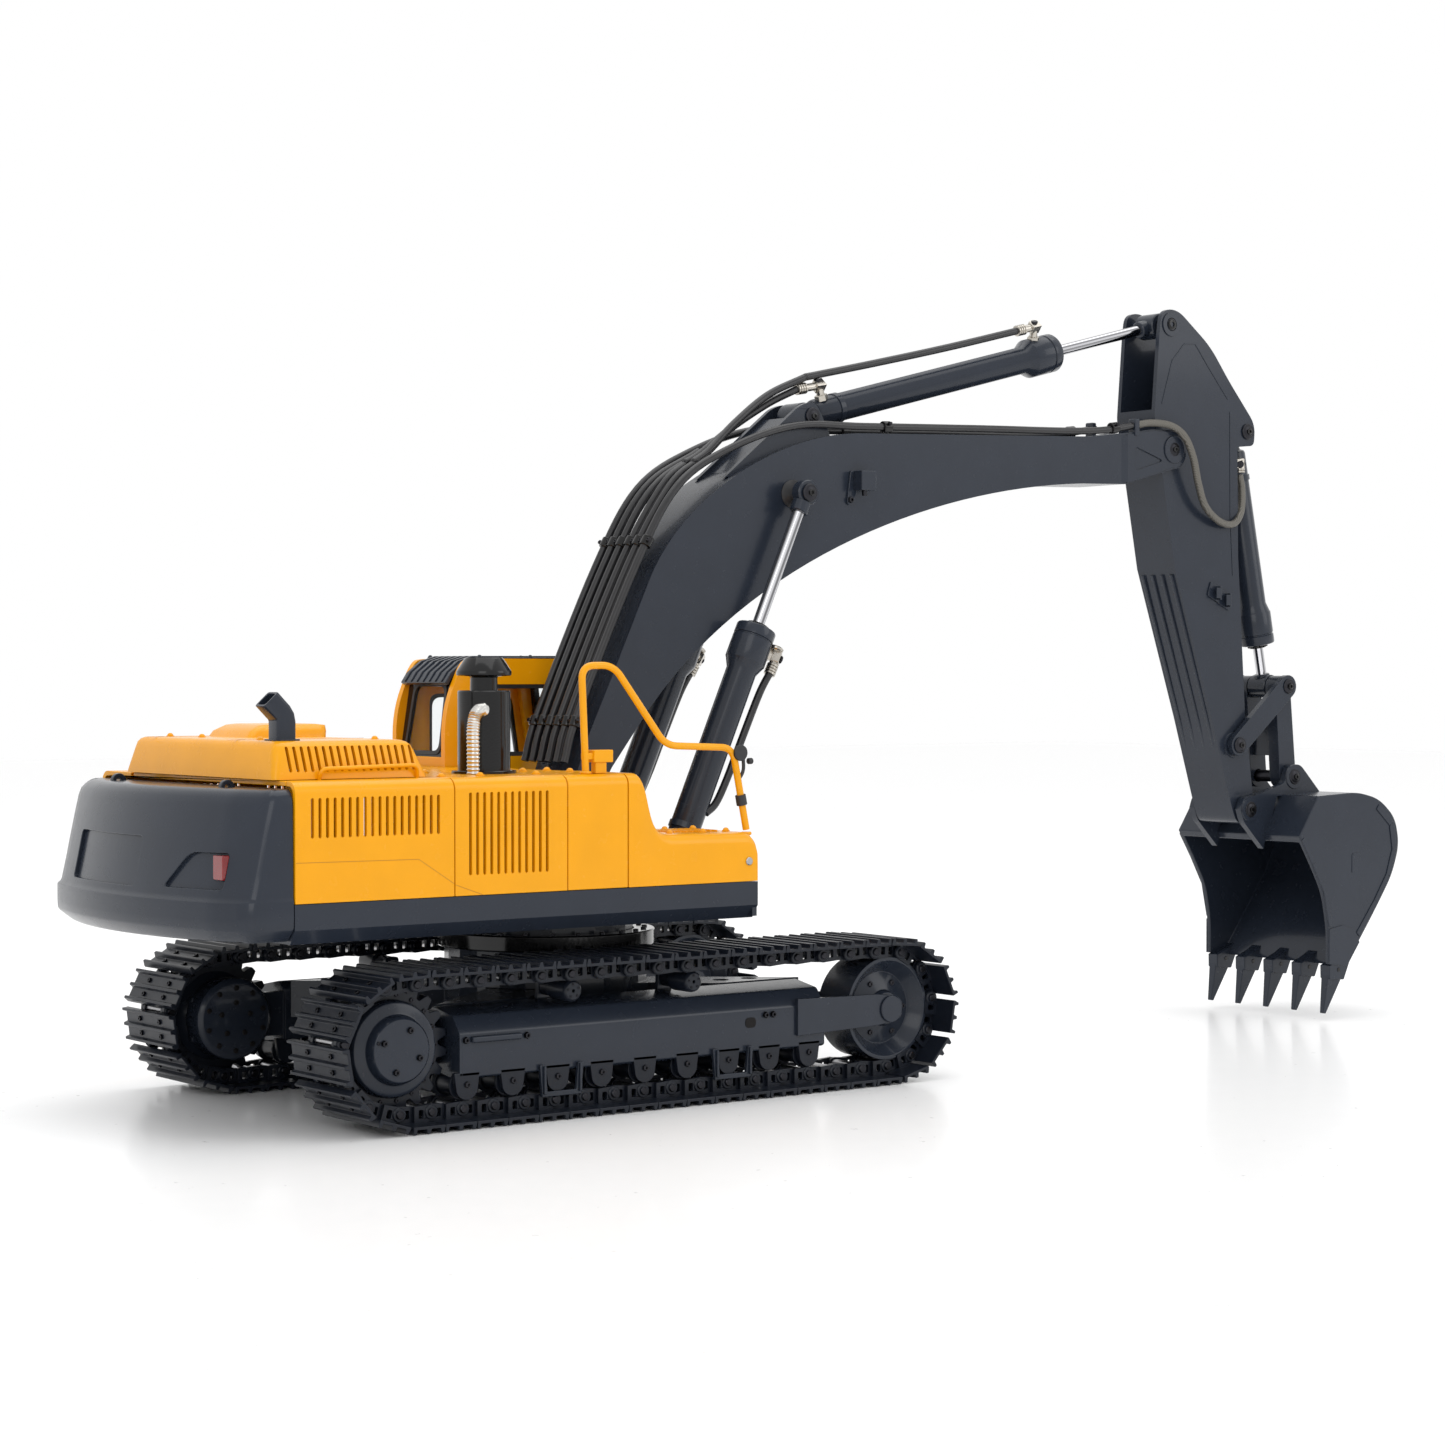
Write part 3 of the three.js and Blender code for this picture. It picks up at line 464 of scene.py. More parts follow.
def bump(tree, value, strength, depth):
    node = tree.nodes.new("ShaderNodeBump")
    node.inputs["Strength"].default_value = strength
    node.inputs["Distance"].default_value = depth
    tree.links.new(value, node.inputs["Height"])
    return node.outputs["Normal"]


def paint(name, color, roughness, coat, tone=0.08, peel=0.12):
    """Sprayed gloss paint: faint mottling, uneven gloss and orange peel."""
    material, tree, shader, place = new_material(name)
    dark = [c * (1 - tone) for c in color]
    light = [min(1, c * (1 + tone)) for c in color]
    tree.links.new(two_tones(tree, noise(tree, place, 45), dark, light), shader.inputs["Base Color"])
    gloss = spread(tree, noise(tree, place, 140, 5), roughness * 0.8, roughness * 1.2)
    tree.links.new(gloss, shader.inputs["Roughness"])
    tree.links.new(bump(tree, noise(tree, place, 900, 2), peel, 0.0002), shader.inputs["Normal"])
    shader.inputs["Specular IOR Level"].default_value = 0.24
    shader.inputs["Coat Weight"].default_value = coat
    shader.inputs["Coat Roughness"].default_value = 0.08
    return material


def metal(name, color, roughness):
    """Bare or plated metal with fine uneven gloss."""
    material, tree, shader, place = new_material(name)
    dark = [c * 0.85 for c in color]
    tree.links.new(two_tones(tree, noise(tree, place, 100), dark, color), shader.inputs["Base Color"])
    gloss = spread(tree, noise(tree, place, 600, 4), roughness * 0.7, roughness * 1.3)
    tree.links.new(gloss, shader.inputs["Roughness"])
    tree.links.new(bump(tree, noise(tree, place, 1200, 2), 0.05, 0.0001), shader.inputs["Normal"])
    shader.inputs["Metallic"].default_value = 1.0
    return material


def polished_with_painted_reflection(name, bands):
    """Hard chrome with painted reflection: grey bands in its colour, set by how squarely each face looks at
    the camera, stand for the studio it mirrors along a rod.
    """
    material = metal(name, (1, 1, 1), 0.08)
    tree = material.node_tree
    facing = tree.nodes.new("ShaderNodeLayerWeight")
    facing.inputs["Blend"].default_value = 0.5
    ramp = tree.nodes.new("ShaderNodeValToRGB")
    while len(ramp.color_ramp.elements) < len(bands):
        ramp.color_ramp.elements.new(0.5)
    for element, (position, grey) in zip(ramp.color_ramp.elements, bands):
        element.position = position
        element.color = (grey, grey, grey * 1.04, 1)
    tree.links.new(facing.outputs["Facing"], ramp.inputs["Fac"])
    tree.links.new(ramp.outputs["Color"], tree.nodes["Principled BSDF"].inputs["Base Color"])
    return material


def rubber(name, color, roughness):
    material, tree, shader, place = new_material(name)
    dark = [c * 0.7 for c in color]
    tree.links.new(two_tones(tree, noise(tree, place, 300), dark, color), shader.inputs["Base Color"])
    gloss = spread(tree, noise(tree, place, 500, 4), roughness * 0.8, roughness * 1.25)
    tree.links.new(gloss, shader.inputs["Roughness"])
    tree.links.new(bump(tree, noise(tree, place, 1500, 3), 0.15, 0.0001), shader.inputs["Normal"])
    return material


def braid(name, dark, light):
    """Woven steel sleeve of a hose: two crossing sets of fine bands."""
    material, tree, shader, place = new_material(name)
    waves = []
    for turn in (0.8, -0.8):
        spin = tree.nodes.new("ShaderNodeMapping")
        spin.inputs["Rotation"].default_value = (turn, turn, 0.3)
        tree.links.new(place, spin.inputs["Vector"])
        wave = tree.nodes.new("ShaderNodeTexWave")
        wave.inputs["Scale"].default_value = 450
        tree.links.new(spin.outputs["Vector"], wave.inputs["Vector"])
        waves.append(wave.outputs["Fac"])
    weave = tree.nodes.new("ShaderNodeMath")
    weave.operation = "MAXIMUM"
    tree.links.new(waves[0], weave.inputs[0])
    tree.links.new(waves[1], weave.inputs[1])
    tree.links.new(two_tones(tree, weave.outputs[0], dark, light), shader.inputs["Base Color"])
    tree.links.new(bump(tree, weave.outputs[0], 0.5, 0.0003), shader.inputs["Normal"])
    shader.inputs["Metallic"].default_value = 0.6
    shader.inputs["Roughness"].default_value = 0.45
    return material


def clear_glass(name):
    material, tree, shader, place = new_material(name)
    tree.links.new(two_tones(tree, noise(tree, place, 30), (0.9, 0.93, 0.93), (1, 1, 1)),
                   shader.inputs["Base Color"])
    tree.links.new(spread(tree, noise(tree, place, 90), 0.02, 0.05), shader.inputs["Roughness"])
    shader.inputs["Transmission Weight"].default_value = 1.0
    shader.inputs["IOR"].default_value = 1.1
    return material


SLATE = paint("slate_paint", (0.0165, 0.0215, 0.0325), 0.26, 0.2, 0.06, 0.05)
SLATE_DEEP = paint("slate_track", (0.008, 0.0105, 0.017), 0.36, 0.1, 0.14)
YELLOW = paint("yellow_paint", (0.79, 0.335, 0.001), 0.26, 0.12, 0.03)
# Painted shade: darker yellow for the shade in fine grooves and panel seams.
YELLOW_GROOVE_SHADE = paint("panel_line", (0.4, 0.16, 0.008), 0.4, 0.2, 0.05)
BLACK = paint("black_paint", (0.003, 0.003, 0.0035), 0.14, 0.25, 0.1)
# Painted shade: near-black that stands for the shade inside slots, holes, seams and bores.
SHADOW = paint("painted_recess_shade", (0.004, 0.003, 0.003), 0.6, 0.0, 0.2)
BOLT = metal("blackened_bolt", (0.035, 0.035, 0.04), 0.35)
# Painted reflection: the rods' chrome carries grey bands in its colour for the studio it mirrors.
CHROME_WITH_PAINTED_REFLECTION = polished_with_painted_reflection("chrome", ((0.0, 0.62), (0.06, 0.75), (0.16, 0.16), (0.34, 0.3), (0.5, 0.72), (0.8, 0.2)))
NICKEL = metal("nickel", (0.5, 0.47, 0.42), 0.26)
NICKEL_BRIGHT = metal("ribbed_steel_hose", (0.66, 0.65, 0.62), 0.22)
STEEL = metal("bare_steel", (0.42, 0.42, 0.43), 0.3)
RUBBER = rubber("hose_rubber", (0.012, 0.012, 0.014), 0.32)
BRAID = braid("braided_sleeve", (0.035, 0.034, 0.03), (0.17, 0.16, 0.14))
GLASS = clear_glass("window_glass")
LAMP_RED = paint("red_lens", (0.2, 0.006, 0.008), 0.15, 0.8, 0.2)
LAMP_CLEAR = paint("clear_lens", (0.35, 0.36, 0.38), 0.1, 0.8, 0.2)
PLASTIC = rubber("black_plastic", (0.02, 0.02, 0.022), 0.5)
WRAP = paint("cell_wrap", (0.02, 0.06, 0.2), 0.35, 0.2)


# ---------------------------------------------------------------- tracks
SIDES = {"left": 1, "right": -1}


def at_track(shape, side):
    """A shape drawn for the left track, with y running outwards from the track's middle."""
    return on_side(moved(shape, y=TRACK_CENTRE), side)


def all_at_track(shapes, side):
    return [at_track(shape, side) for shape in shapes]


def chain_pins():
    """Pins of the chain's loop, from the sprocket forwards along the ground and back over the top."""
    half = WHEEL_BASE / 2
    bend = math.pi * PITCH_RADIUS
    pins = []
    for i in range(LINK_COUNT):
        run = 2 * (WHEEL_BASE + bend) * i / LINK_COUNT
        if run < WHEEL_BASE:
            x, z = run - half, -PITCH_RADIUS
        elif run < WHEEL_BASE + bend:
            turn = (run - WHEEL_BASE) / PITCH_RADIUS
            x, z = half + PITCH_RADIUS * math.sin(turn), -PITCH_RADIUS * math.cos(turn)
        elif run < 2 * WHEEL_BASE + bend:
            x, z = half - (run - WHEEL_BASE - bend), PITCH_RADIUS
        else:
            turn = (run - 2 * WHEEL_BASE - bend) / PITCH_RADIUS
            x, z = -half - PITCH_RADIUS * math.sin(turn), PITCH_RADIUS * math.cos(turn)
        pins.append(Vector((x, 0, z + AXLE_HEIGHT)))
    return pins


def link_places():
    """One matrix per link: x along the chain, z outwards, with the origin between its two pins."""
    pins = chain_pins()
    places = []
    for i, pin in enumerate(pins):
        ahead = pins[(i + 1) % len(pins)]
        along = (ahead - pin).normalized()
        outward = Vector((along.z, 0, -along.x))
        turn = Matrix((along, Vector((0, 1, 0)), outward)).transposed().to_4x4()
        places.append(Matrix.Translation((pin + ahead) / 2) @ turn)
    return places


def shoe():
    """Track shoe with three grousers, drawn in its link's frame."""
    plate, crest = 6.0, 8.4
    section = [(-9.2, 4.5), (-9.2, crest), (-7.7, crest), (-7.0, plate), (-1.7, plate), (-1.1, crest),
               (0.5, crest), (1.2, plate), (6.2, plate), (6.8, crest), (8.2, crest), (9.1, 5.6), (9.1, 4.5)]
    return prism("y", section, -SHOE_HALF, SHOE_HALF)


def shoe_bolts():
    up = Vector((0, 0, 1))
    places = [(x, y) for x in (-4.3, 3.7) for y in (-RAIL_MIDDLE, RAIL_MIDDLE)]
    return joined(*[bolt((x, y, 6.0), up, 1.5, 1.1) for x, y in places])


def link_plates():
    """The two rows of one link; each plate steps outwards to lap over the next one."""
    half_pitch = 9.235
    window = rounded([(-4.9, -1.4, 0.6), (-2.1, -1.4, 0.6), (-2.1, 2.9, 0.6), (-4.9, 2.9, 0.6)], 2)
    rear = [*arc((-half_pitch, 0), 3.9, 110, 270, 8), (0.4, -3.2), (0.4, 4.7), (-7.4, 4.7)]
    ahead = [(-x, z) for x, z in reversed(rear)]
    other_window = [(-x, z) for x, z in reversed(window)]
    inner = prism("y", rear, RAIL_MIDDLE - 2.2, RAIL_MIDDLE, [window])
    outer = prism("y", ahead, RAIL_MIDDLE, RAIL_MIDDLE + 2.2, [other_window])
    return both_sides(joined(inner, outer))


def add_chain(name, side):
    piece = part(f"track_chain_{name}", "undercarriage")
    places = link_places()

    def along_chain(shape):
        return joined(*[at_track(transformed(shape, place), side) for place in places])

    pins = chain_pins()
    across = Vector((0, 1, 0))
    bushes = [disc(pin + across * -9.2, across, 3.0, 18.4, 14) for pin in pins]
    ends = [disc(pin + across * (14.3 * end), across * end, 2.1, 1.1, 14) for pin in pins for end in (1, -1)]
    bosses = [disc(pin + across * (13.2 * end), across * end, 3.7, 1.2, 18) for pin in pins
              for end in (1, -1)]
    piece(f"track_shoes_{name}", SLATE_DEEP, along_chain(shoe()), bevel=0.35)
    piece(f"track_shoe_bolts_{name}", BOLT, along_chain(shoe_bolts()))
    piece(f"track_links_{name}", SLATE_DEEP, along_chain(link_plates()), bevel=0.25)
    piece(f"track_bushes_{name}", STEEL, *all_at_track(bushes, side))
    piece(f"track_bosses_{name}", SLATE_DEEP, *all_at_track(bosses, side))
    piece(f"track_pins_{name}", BOLT, *all_at_track(ends, side))


def wheel_bolts(centre, radius, count, y, size, height, start=0.0):
    """Ring of bolt heads on an outward face of a wheel."""
    places = circle(centre[0], centre[1], radius, count, start)
    return joined(*[bolt((x, y, z), (0, 1, 0), size, height) for x, z in places])


def sprocket_teeth():
    tip, root, count = 34.0, 29.0, 21
    outline = []
    for tooth in range(count):
        for share, radius in ((0, root), (0.2, root), (0.36, tip - 1.6), (0.44, tip), (0.76, tip),
                              (0.84, tip - 1.6)):
            angle = 2 * math.pi * (tooth + share) / count
            outline.append((radius * math.cos(angle), radius * math.sin(angle)))
    return prism("y", outline, -3.5, 3.5)


def add_sprocket(name, side):
    piece = part(f"drive_sprocket_{name}", f"sprocket_{name}")
    axle = (-WHEEL_BASE / 2, 0, AXLE_HEIGHT)
    drum = turned([(-9.4, 18), (-9.0, 19), (-4, 24), (3.4, 24.6), (8, 24.4), (9.8, 23.4), (10.6, 21.6),
                   (10.8, 18.6), (11.2, 17.6), (12.2, 17.2), (15.6, 16.4), (16.5, 15.4)],
                  (0, 0, 0), (0, 1, 0), 56)
    turns = [math.radians(angle) for angle in (64, 157, -22, -108)]
    cover = [bolt((11 * math.cos(turn), 16.5, 11 * math.sin(turn)), (0, 1, 0), 1.7, 1.6) for turn in turns]
    plug = bolt((-13.2, 16.3, 4.6), (0, 1, 0), 1.0, 0.8, 12)
    flange = wheel_bolts((0, 0), 26.8, 18, 3.4, 1.3, 0.9)

    def place(shape):
        return at_track(moved(shape, *axle), side)

    piece(f"sprocket_teeth_{name}", SLATE_DEEP, place(sprocket_teeth()), bevel=0.5)
    piece(f"sprocket_drum_{name}", SLATE, place(drum), bevel=0.25)
    piece(f"sprocket_bolts_{name}", BOLT, *[place(s) for s in (*cover, plug, flange)])


def add_idler(name, side):
    piece = part(f"idler_wheel_{name}", f"idler_{name}")
    section = [(-13, 5.6), (-13, 8.6), (-12.6, 9), (-9, 10), (-6, 20), (-12.2, 26), (-13, 26.6), (-13, 28.6),
               (-8.9, 28.6), (-8.4, 28.6), (8.4, 28.6), (8.9, 28.6), (13, 28.6), (13, 26.6), (12.2, 26),
               (6, 20), (9, 10), (12.6, 9), (13, 8.6), (13, 5.6)]
    wheel = ring(section, (WHEEL_BASE / 2, 0, AXLE_HEIGHT), (0, 1, 0), 56)
    holes = wheel_bolts((WHEEL_BASE / 2, AXLE_HEIGHT), 15.5, 6, 7.6, 1.6, 0.8)
    piece(f"idler_rim_{name}", SLATE, at_track(wheel, side), bevel=0.3)
    piece(f"idler_bolts_{name}", BOLT, at_track(holes, side))


def add_carriers(name, side):
    for place, x in CARRIER_PLACES.items():
        piece = part(f"carrier_roller_{place}_{name}", f"carrier_{place}_{name}")
        section = [(-12.8, 2.4), (-12.8, 4.2), (-4.2, 4.4), (-3.6, 5.2), (-3, 5.7), (10.8, 5.7), (12.2, 5.4),
                   (13.2, 4.4), (13.2, 0.9), (12.4, 0.7), (11, 2.4)]
        roller = ring(section, (x, 0, CARRIER_HEIGHT), (0, 1, 0), 32)
        bolts = wheel_bolts((x, CARRIER_HEIGHT), 3.4, 5, 13.1, 0.7, 0.5, 0.4)
        piece(f"carrier_drum_{place}_{name}", SLATE_DEEP, at_track(roller, side), bevel=0.2)
        piece(f"carrier_bolts_{place}_{name}", BOLT, at_track(bolts, side))


def lower_roller(x):
    """Track roller between its two brackets, under the side frame."""
    roller = turned([(-9.6, 5), (-9.4, 7.6), (-7.6, 7.6), (-7.2, 5.8), (7.2, 5.8), (7.6, 7.6), (9.4, 7.6),
                     (9.6, 5)], (x, 0, 19.4), (0, 1, 0), 28)
    outline = [*arc((x, 19.2), 6.6, 200, 340, 12), (x + 7.6, 26.5), (x - 7.6, 26.5)]
    brackets = [prism("y", outline, y - 1.4, y + 1.4) for y in (-12.6, 12.6)]
    return joined(roller, *brackets)


def roller_guard(x):
    """U-shaped guard that hangs round a pair of rollers' outer side."""
    arms = [(x - 13.5, 27), (x - 12, 10.5), (x + 12, 10.5), (x + 13.5, 27), (x + 10.2, 27), (x + 8.8, 13.2),
            (x - 8.8, 13.2), (x - 10.2, 27)]
    ribs = [block((x + s * 11 - 0.7, x + s * 11 + 0.7), (13.6, 17.4), (12, 26.5)) for s in (-1, 1)]
    return joined(prism("y", arms, 13.8, 16), *ribs)


def side_frame_section():
    return rounded([(-16, 26), (11, 22.6, 1.5), (14, 24, 1), (14, 46, 1), (7, 54.6, 1.2), (-12, 58, 1.5),
                    (-16, 54, 1.5)], 3)


def add_track_frame(name, side):
    piece = part(f"track_frame_{name}", "undercarriage")
    beam = prism("x", side_frame_section(), -121, 112)
    slot = rounded([(57.5, 36.5, 2.4), (64.5, 36.5, 2.4), (64.5, 42, 2.4), (57.5, 42, 2.4)], 4)
    slot_shade = prism("y", slot, 13.6, 14.25)
    fork_shape = rounded([(92, 30), (150, 32, 3), (166, 35, 4), (166, 46, 4), (150, 49, 3), (92, 50)])
    forks = [prism("y", fork_shape, y - 1.35, y + 1.35) for y in (-14.65, 14.65)]
    axle = disc((WHEEL_BASE / 2, -16, AXLE_HEIGHT), (0, 1, 0), 5, 32, 28)
    cap = disc((WHEEL_BASE / 2, 15.8, AXLE_HEIGHT), (0, 1, 0), 7.5, 1.6, 28)
    tension_rod = turned([(0, 3.4), (30, 3.4)], (112, 0, AXLE_HEIGHT), (1, 0, 0), 20)
    yoke = block((136, 141), (-13.3, 13.3), (33, 48))
    end_plate = prism("x", side_frame_section(), -122.4, -120.8)
    skirt = block((-118, 108), (9.8, 12.2), (23.5, 25.5))
    roller_xs = [ROLLER_FIRST + i * ROLLER_PITCH for i in range(ROLLER_COUNT)]
    posts = []
    for x in CARRIER_PLACES.values():
        column = rounded([(x - 5, 52), (x + 5, 52), (x + 4.2, CARRIER_HEIGHT + 4, 2),
                          (x - 4.2, CARRIER_HEIGHT + 4, 2)], 3)
        posts.append(prism("y", column, -16, -13.2))
        posts.append(disc((x, -13.4, CARRIER_HEIGHT), (0, 1, 0), 1.9, 23, 16))

    piece(f"side_frame_{name}", SLATE,
          *all_at_track((beam, end_plate, *forks, axle, cap, yoke, *posts), side), bevel=0.7)
    piece(f"tension_rod_{name}", STEEL, at_track(tension_rod, side))
    piece(f"lower_rollers_{name}", SLATE_DEEP, *[at_track(lower_roller(x), side) for x in roller_xs],
          at_track(skirt, side), bevel=0.35)
    piece(f"roller_guards_{name}", SLATE, *[at_track(roller_guard(x), side) for x in (-62, 48)],
          bevel=0.4)
    handle = block((-116, -86), (13.8, 16.6), (41.2, 44.6))
    piece(f"side_handle_{name}", SLATE, at_track(handle, side), bevel=1.2)
    roller_bolts = [bolt((x, 13.9, 20.4), (0, 1, 0), 1.7, 1.3) for x in roller_xs]
    frame_bolts = [bolt((x, 14, 42.8), (0, 1, 0), 1.8, 1.8) for x in (-119, -82.5, 71, 76)]
    piece(f"side_bolts_{name}", BOLT, *all_at_track((*roller_bolts, *frame_bolts), side))
    # Painted shade: a thin near-black plate on the frame's side stands for the shade inside its slot.
    piece(f"side_slot_{name}", SHADOW, at_track(slot_shade, side))


def add_final_drive(name, side):
    piece = part(f"final_drive_{name}", "undercarriage")
    place = (-WHEEL_BASE / 2, 0, AXLE_HEIGHT)
    housing = turned([(-28, 19), (-27.4, 20.6), (-26, 22), (-12.4, 22), (-11.6, 21), (-9.9, 15.6),
                      (-9.8, 12)], place, (0, 1, 0), 48)
    bracket = block((place[0] - 20, -121 - GAP), (-15.8, -11), (28.5, 52.5))
    holes = []
    for radius, count in ((17, 10), (9, 5)):
        for x, z in circle(place[0], place[2], radius, count, 0.3):
            holes.append(turned([(-0.4, 1.5), (0.5, 1.5), (0.7, 1.1)], (x, -27.8, z), (0, -1, 0), 16))
    piece(f"drive_housing_{name}", SLATE, at_track(housing, side), at_track(bracket, side), bevel=0.4)
    # Painted shade: near-black rings stand for the shade inside the housing's holes.
    piece(f"drive_holes_{name}", SHADOW, *all_at_track(holes, side))


def add_undercarriage():
    keep_node("chassis_frame", SLATE, 1.0)
    section = [(77.8, 46), (77.8, 59.4), (78.4, 60), (85.9, 60), (86.5, 59.4), (86.5, 48.6), (81, 48.6),
               (81, 46)]
    piece = part("slew_ring_outer", "undercarriage")
    # Drawn black partly as its own colour and partly as painted shade from the upper body above it.
    piece("slew_ring", BLACK, ring(section, (0, 0, 0), (0, 0, 1), 96), bevel=0.3)
    heads = [bolt((x, y, 86.4), (0, 0, 1), 1.5, 1.1) for x, y in circle(0, 0, 54.5, 24)]
    piece("slew_ring_bolts", BOLT, *heads)
    for name, side in SIDES.items():
        add_chain(name, side)
        add_sprocket(name, side)
        add_idler(name, side)
        add_carriers(name, side)
        add_track_frame(name, side)
        add_final_drive(name, side)


# ---------------------------------------------------------------- counterweight
def counterweight_plan(z, inset, lean, draw):
    """Plan outline at one height: flat front, rounded corners and a bowed rear."""
    front = HOUSE_REAR - GAP
    corner = HOUSE_HALF - inset
    rear = []
    for i in range(25):
        y = 88 * (1 - i / 12)
        rear.append((-262 + 13 * (y / 90) ** 2 + lean + inset, y * (1 - inset / 100)))
    turn = [(-243.6 + lean + inset, 98.4 - inset), (-240.8 + lean + inset * 0.6, 102.8 - inset),
            (-238.4 + lean + inset * 0.4, 105.2 - inset), (-235 + lean, corner)]
    left = [(front, corner), *reversed(turn)]
    right = [*[(x, -y) for x, y in turn], (front, -corner)]
    return [(x + draw, y, z) for x, y in (*left, *rear, *right)]


COUNTERWEIGHT_LEVELS = [
    (97.0, 7.0, 0.0), (98.0, 5.6, 0.0), (102.6, 0.9, 0.0), (104.0, 0.2, 0.0), (108.0, 0.0, 0.0),
    (116.4, 0.0, 0.0), (117.2, 0.15, 0.5), (118.0, 0.5, 1.1), (119.2, 0.6, 1.6), (130.0, 0.7, 4.0),
    (142.0, 0.8, 6.4), (154.0, 0.9, 8.9), (163.0, 1.0, 10.9), (166.6, 1.6, 11.6), (169.0, 3.0, 12.2),
    (170.4, 5.0, 12.6), (170.9, 6.8, 13.0),
]


def counterweight_body(draw=0.0, low=0.0, high=200.0):
    levels = [level for level in COUNTERWEIGHT_LEVELS if low <= level[0] <= high]
    return skinned([counterweight_plan(z, inset, lean, draw) for z, inset, lean in levels])


def add_counterweight():
    piece = part("counterweight", "house")
    plate = rounded([(-20, 121.5, 3), (60, 121.5, 3), (60, 146, 3), (-20, 146, 3)], 4)
    lamp = rounded([(-89, 122.5, 2), (-46, 122.5, 3), (-62, 140, 6), (-89, 140, 2)], 4)
    recesses = [prism("x", plate, -275, -240), prism("x", lamp, -275, -238)]
    piece("counterweight_shell", SLATE, counterweight_body(), cuts=recesses, bevel=0.5, angle=50,
          segments=3)
    points, faces = counterweight_body(1.6, 104, 166)
    core = [Vector((min(x, HOUSE_REAR - 2), y * 0.96, z)) for x, y, z in points]
    piece("counterweight_core", SLATE, (core, faces))
    lens = rounded([(-89, 127, 1), (-79, 127, 1), (-79, 139, 1), (-89, 139, 1)], 3)
    x_lens = -262 + 13 * (84 / 90) ** 2 + 5.5
    piece("tail_light", LAMP_RED, prism("x", lens, x_lens - 0.4, x_lens + 4), bevel=0.5)
    eyes = [ring([(-1.6, 1.6), (-1.6, 4), (1.6, 4), (1.6, 1.6)], (-228, y, 170.6), (0, 1, 0), 28)
            for y in (-60, 60)]
    piece("lifting_eyes", SLATE, *eyes, bevel=0.5)


# ---------------------------------------------------------------- body panels
def side_section():
    """Section of the right-hand side panel with its rounded upper edge and its lip."""
    outer, low = -HOUSE_HALF, SKIRT_TOP + GAP
    edge = arc((outer + 6.4, BODY_TOP - 6.4), 6.4, 180, 90, 8)
    inner = arc((outer + 6.4, BODY_TOP - 6.4), 6.4 - PANEL, 90, 180, 6)
    lip = -DECK_HALF - GAP
    return [(outer, low), *edge, (lip, BODY_TOP), (lip, BODY_TOP - PANEL), *inner, (outer + PANEL, low)]


def upright_slots(first, last, count, low, high):
    """Row of narrow slots with round ends through a side panel."""
    half = 0.8
    shapes = []
    for i in range(count):
        x = first + (last - first) * i / (count - 1)
        slot = arc((x, high - half), half, 0, 180, 5) + arc((x, low + half), half, 180, 360, 5)
        shapes.append(prism("y", slot, -HOUSE_HALF - 4, -HOUSE_HALF + 6))
    return joined(*shapes)


def crease(points):
    """Fine darker line along a panel, standing just proud of it; its darker yellow is painted shade for a
    fine groove.
    """
    return ridge(points, 0.28, -HOUSE_HALF - 0.06, -HOUSE_HALF + 0.5)


def hinge_leaves(x, zs):
    """Inside hinges of a side door."""
    return joined(*[block((x - 3, x + 3), (-103.2, -101.4), (z, z + 10)) for z in zs])


def add_doors():
    rear = prism("x", side_section(), HOUSE_REAR + GAP, DOOR_SEAMS[0] - GAP)
    rear_slots = upright_slots(-205.8, -134.5, 18, 146.8, 166.4)
    rear_line = crease([(-215, 135.2), (-146, 134.6), (DOOR_SEAMS[0] - 0.4, 121.6)])
    leaves = hinge_leaves(-211, (124, 150))
    for name, side in (("right", -1), ("left", 1)):
        piece = part(f"rear_door_{name}", f"{name}_rear_door")
        piece(f"rear_door_{name}_panel", YELLOW, on_side(mirrored(rear), side),
              cuts=[on_side(mirrored(rear_slots), side)], bevel=0.22)
        # The crease's darker yellow is painted shade for a groove.
        piece(f"rear_door_{name}_crease", YELLOW_GROOVE_SHADE, on_side(mirrored(rear_line), side))
        piece(f"rear_door_{name}_hinges", STEEL, on_side(mirrored(leaves), side), bevel=0.3)
    piece = part("middle_door_right", "right_middle_door")
    middle = prism("x", side_section(), DOOR_SEAMS[0] + GAP, DOOR_SEAMS[1] - GAP)
    middle_slots = upright_slots(-115.7, -69.6, 12, 125.4, 167.0)
    middle_line = crease([(DOOR_SEAMS[0] + 0.4, 121), (-108.5, SKIRT_TOP + 0.4)])
    piece("middle_door_panel", YELLOW, middle, cuts=[middle_slots], bevel=0.22)
    # The crease's darker yellow is painted shade for a groove.
    piece("middle_door_crease", YELLOW_GROOVE_SHADE, middle_line)
    piece("middle_door_hinges", STEEL, hinge_leaves(-62, (124, 150)), bevel=0.3)


def dome_bolt(x, y, z, radius=1.9):
    return turned([(-0.3, radius * 1.25), (0.5, radius * 1.25), (0.6, radius), (1.4, radius * 0.8),
                   (1.9, radius * 0.35)], (x, y, z), (0, 0, 1), 18)


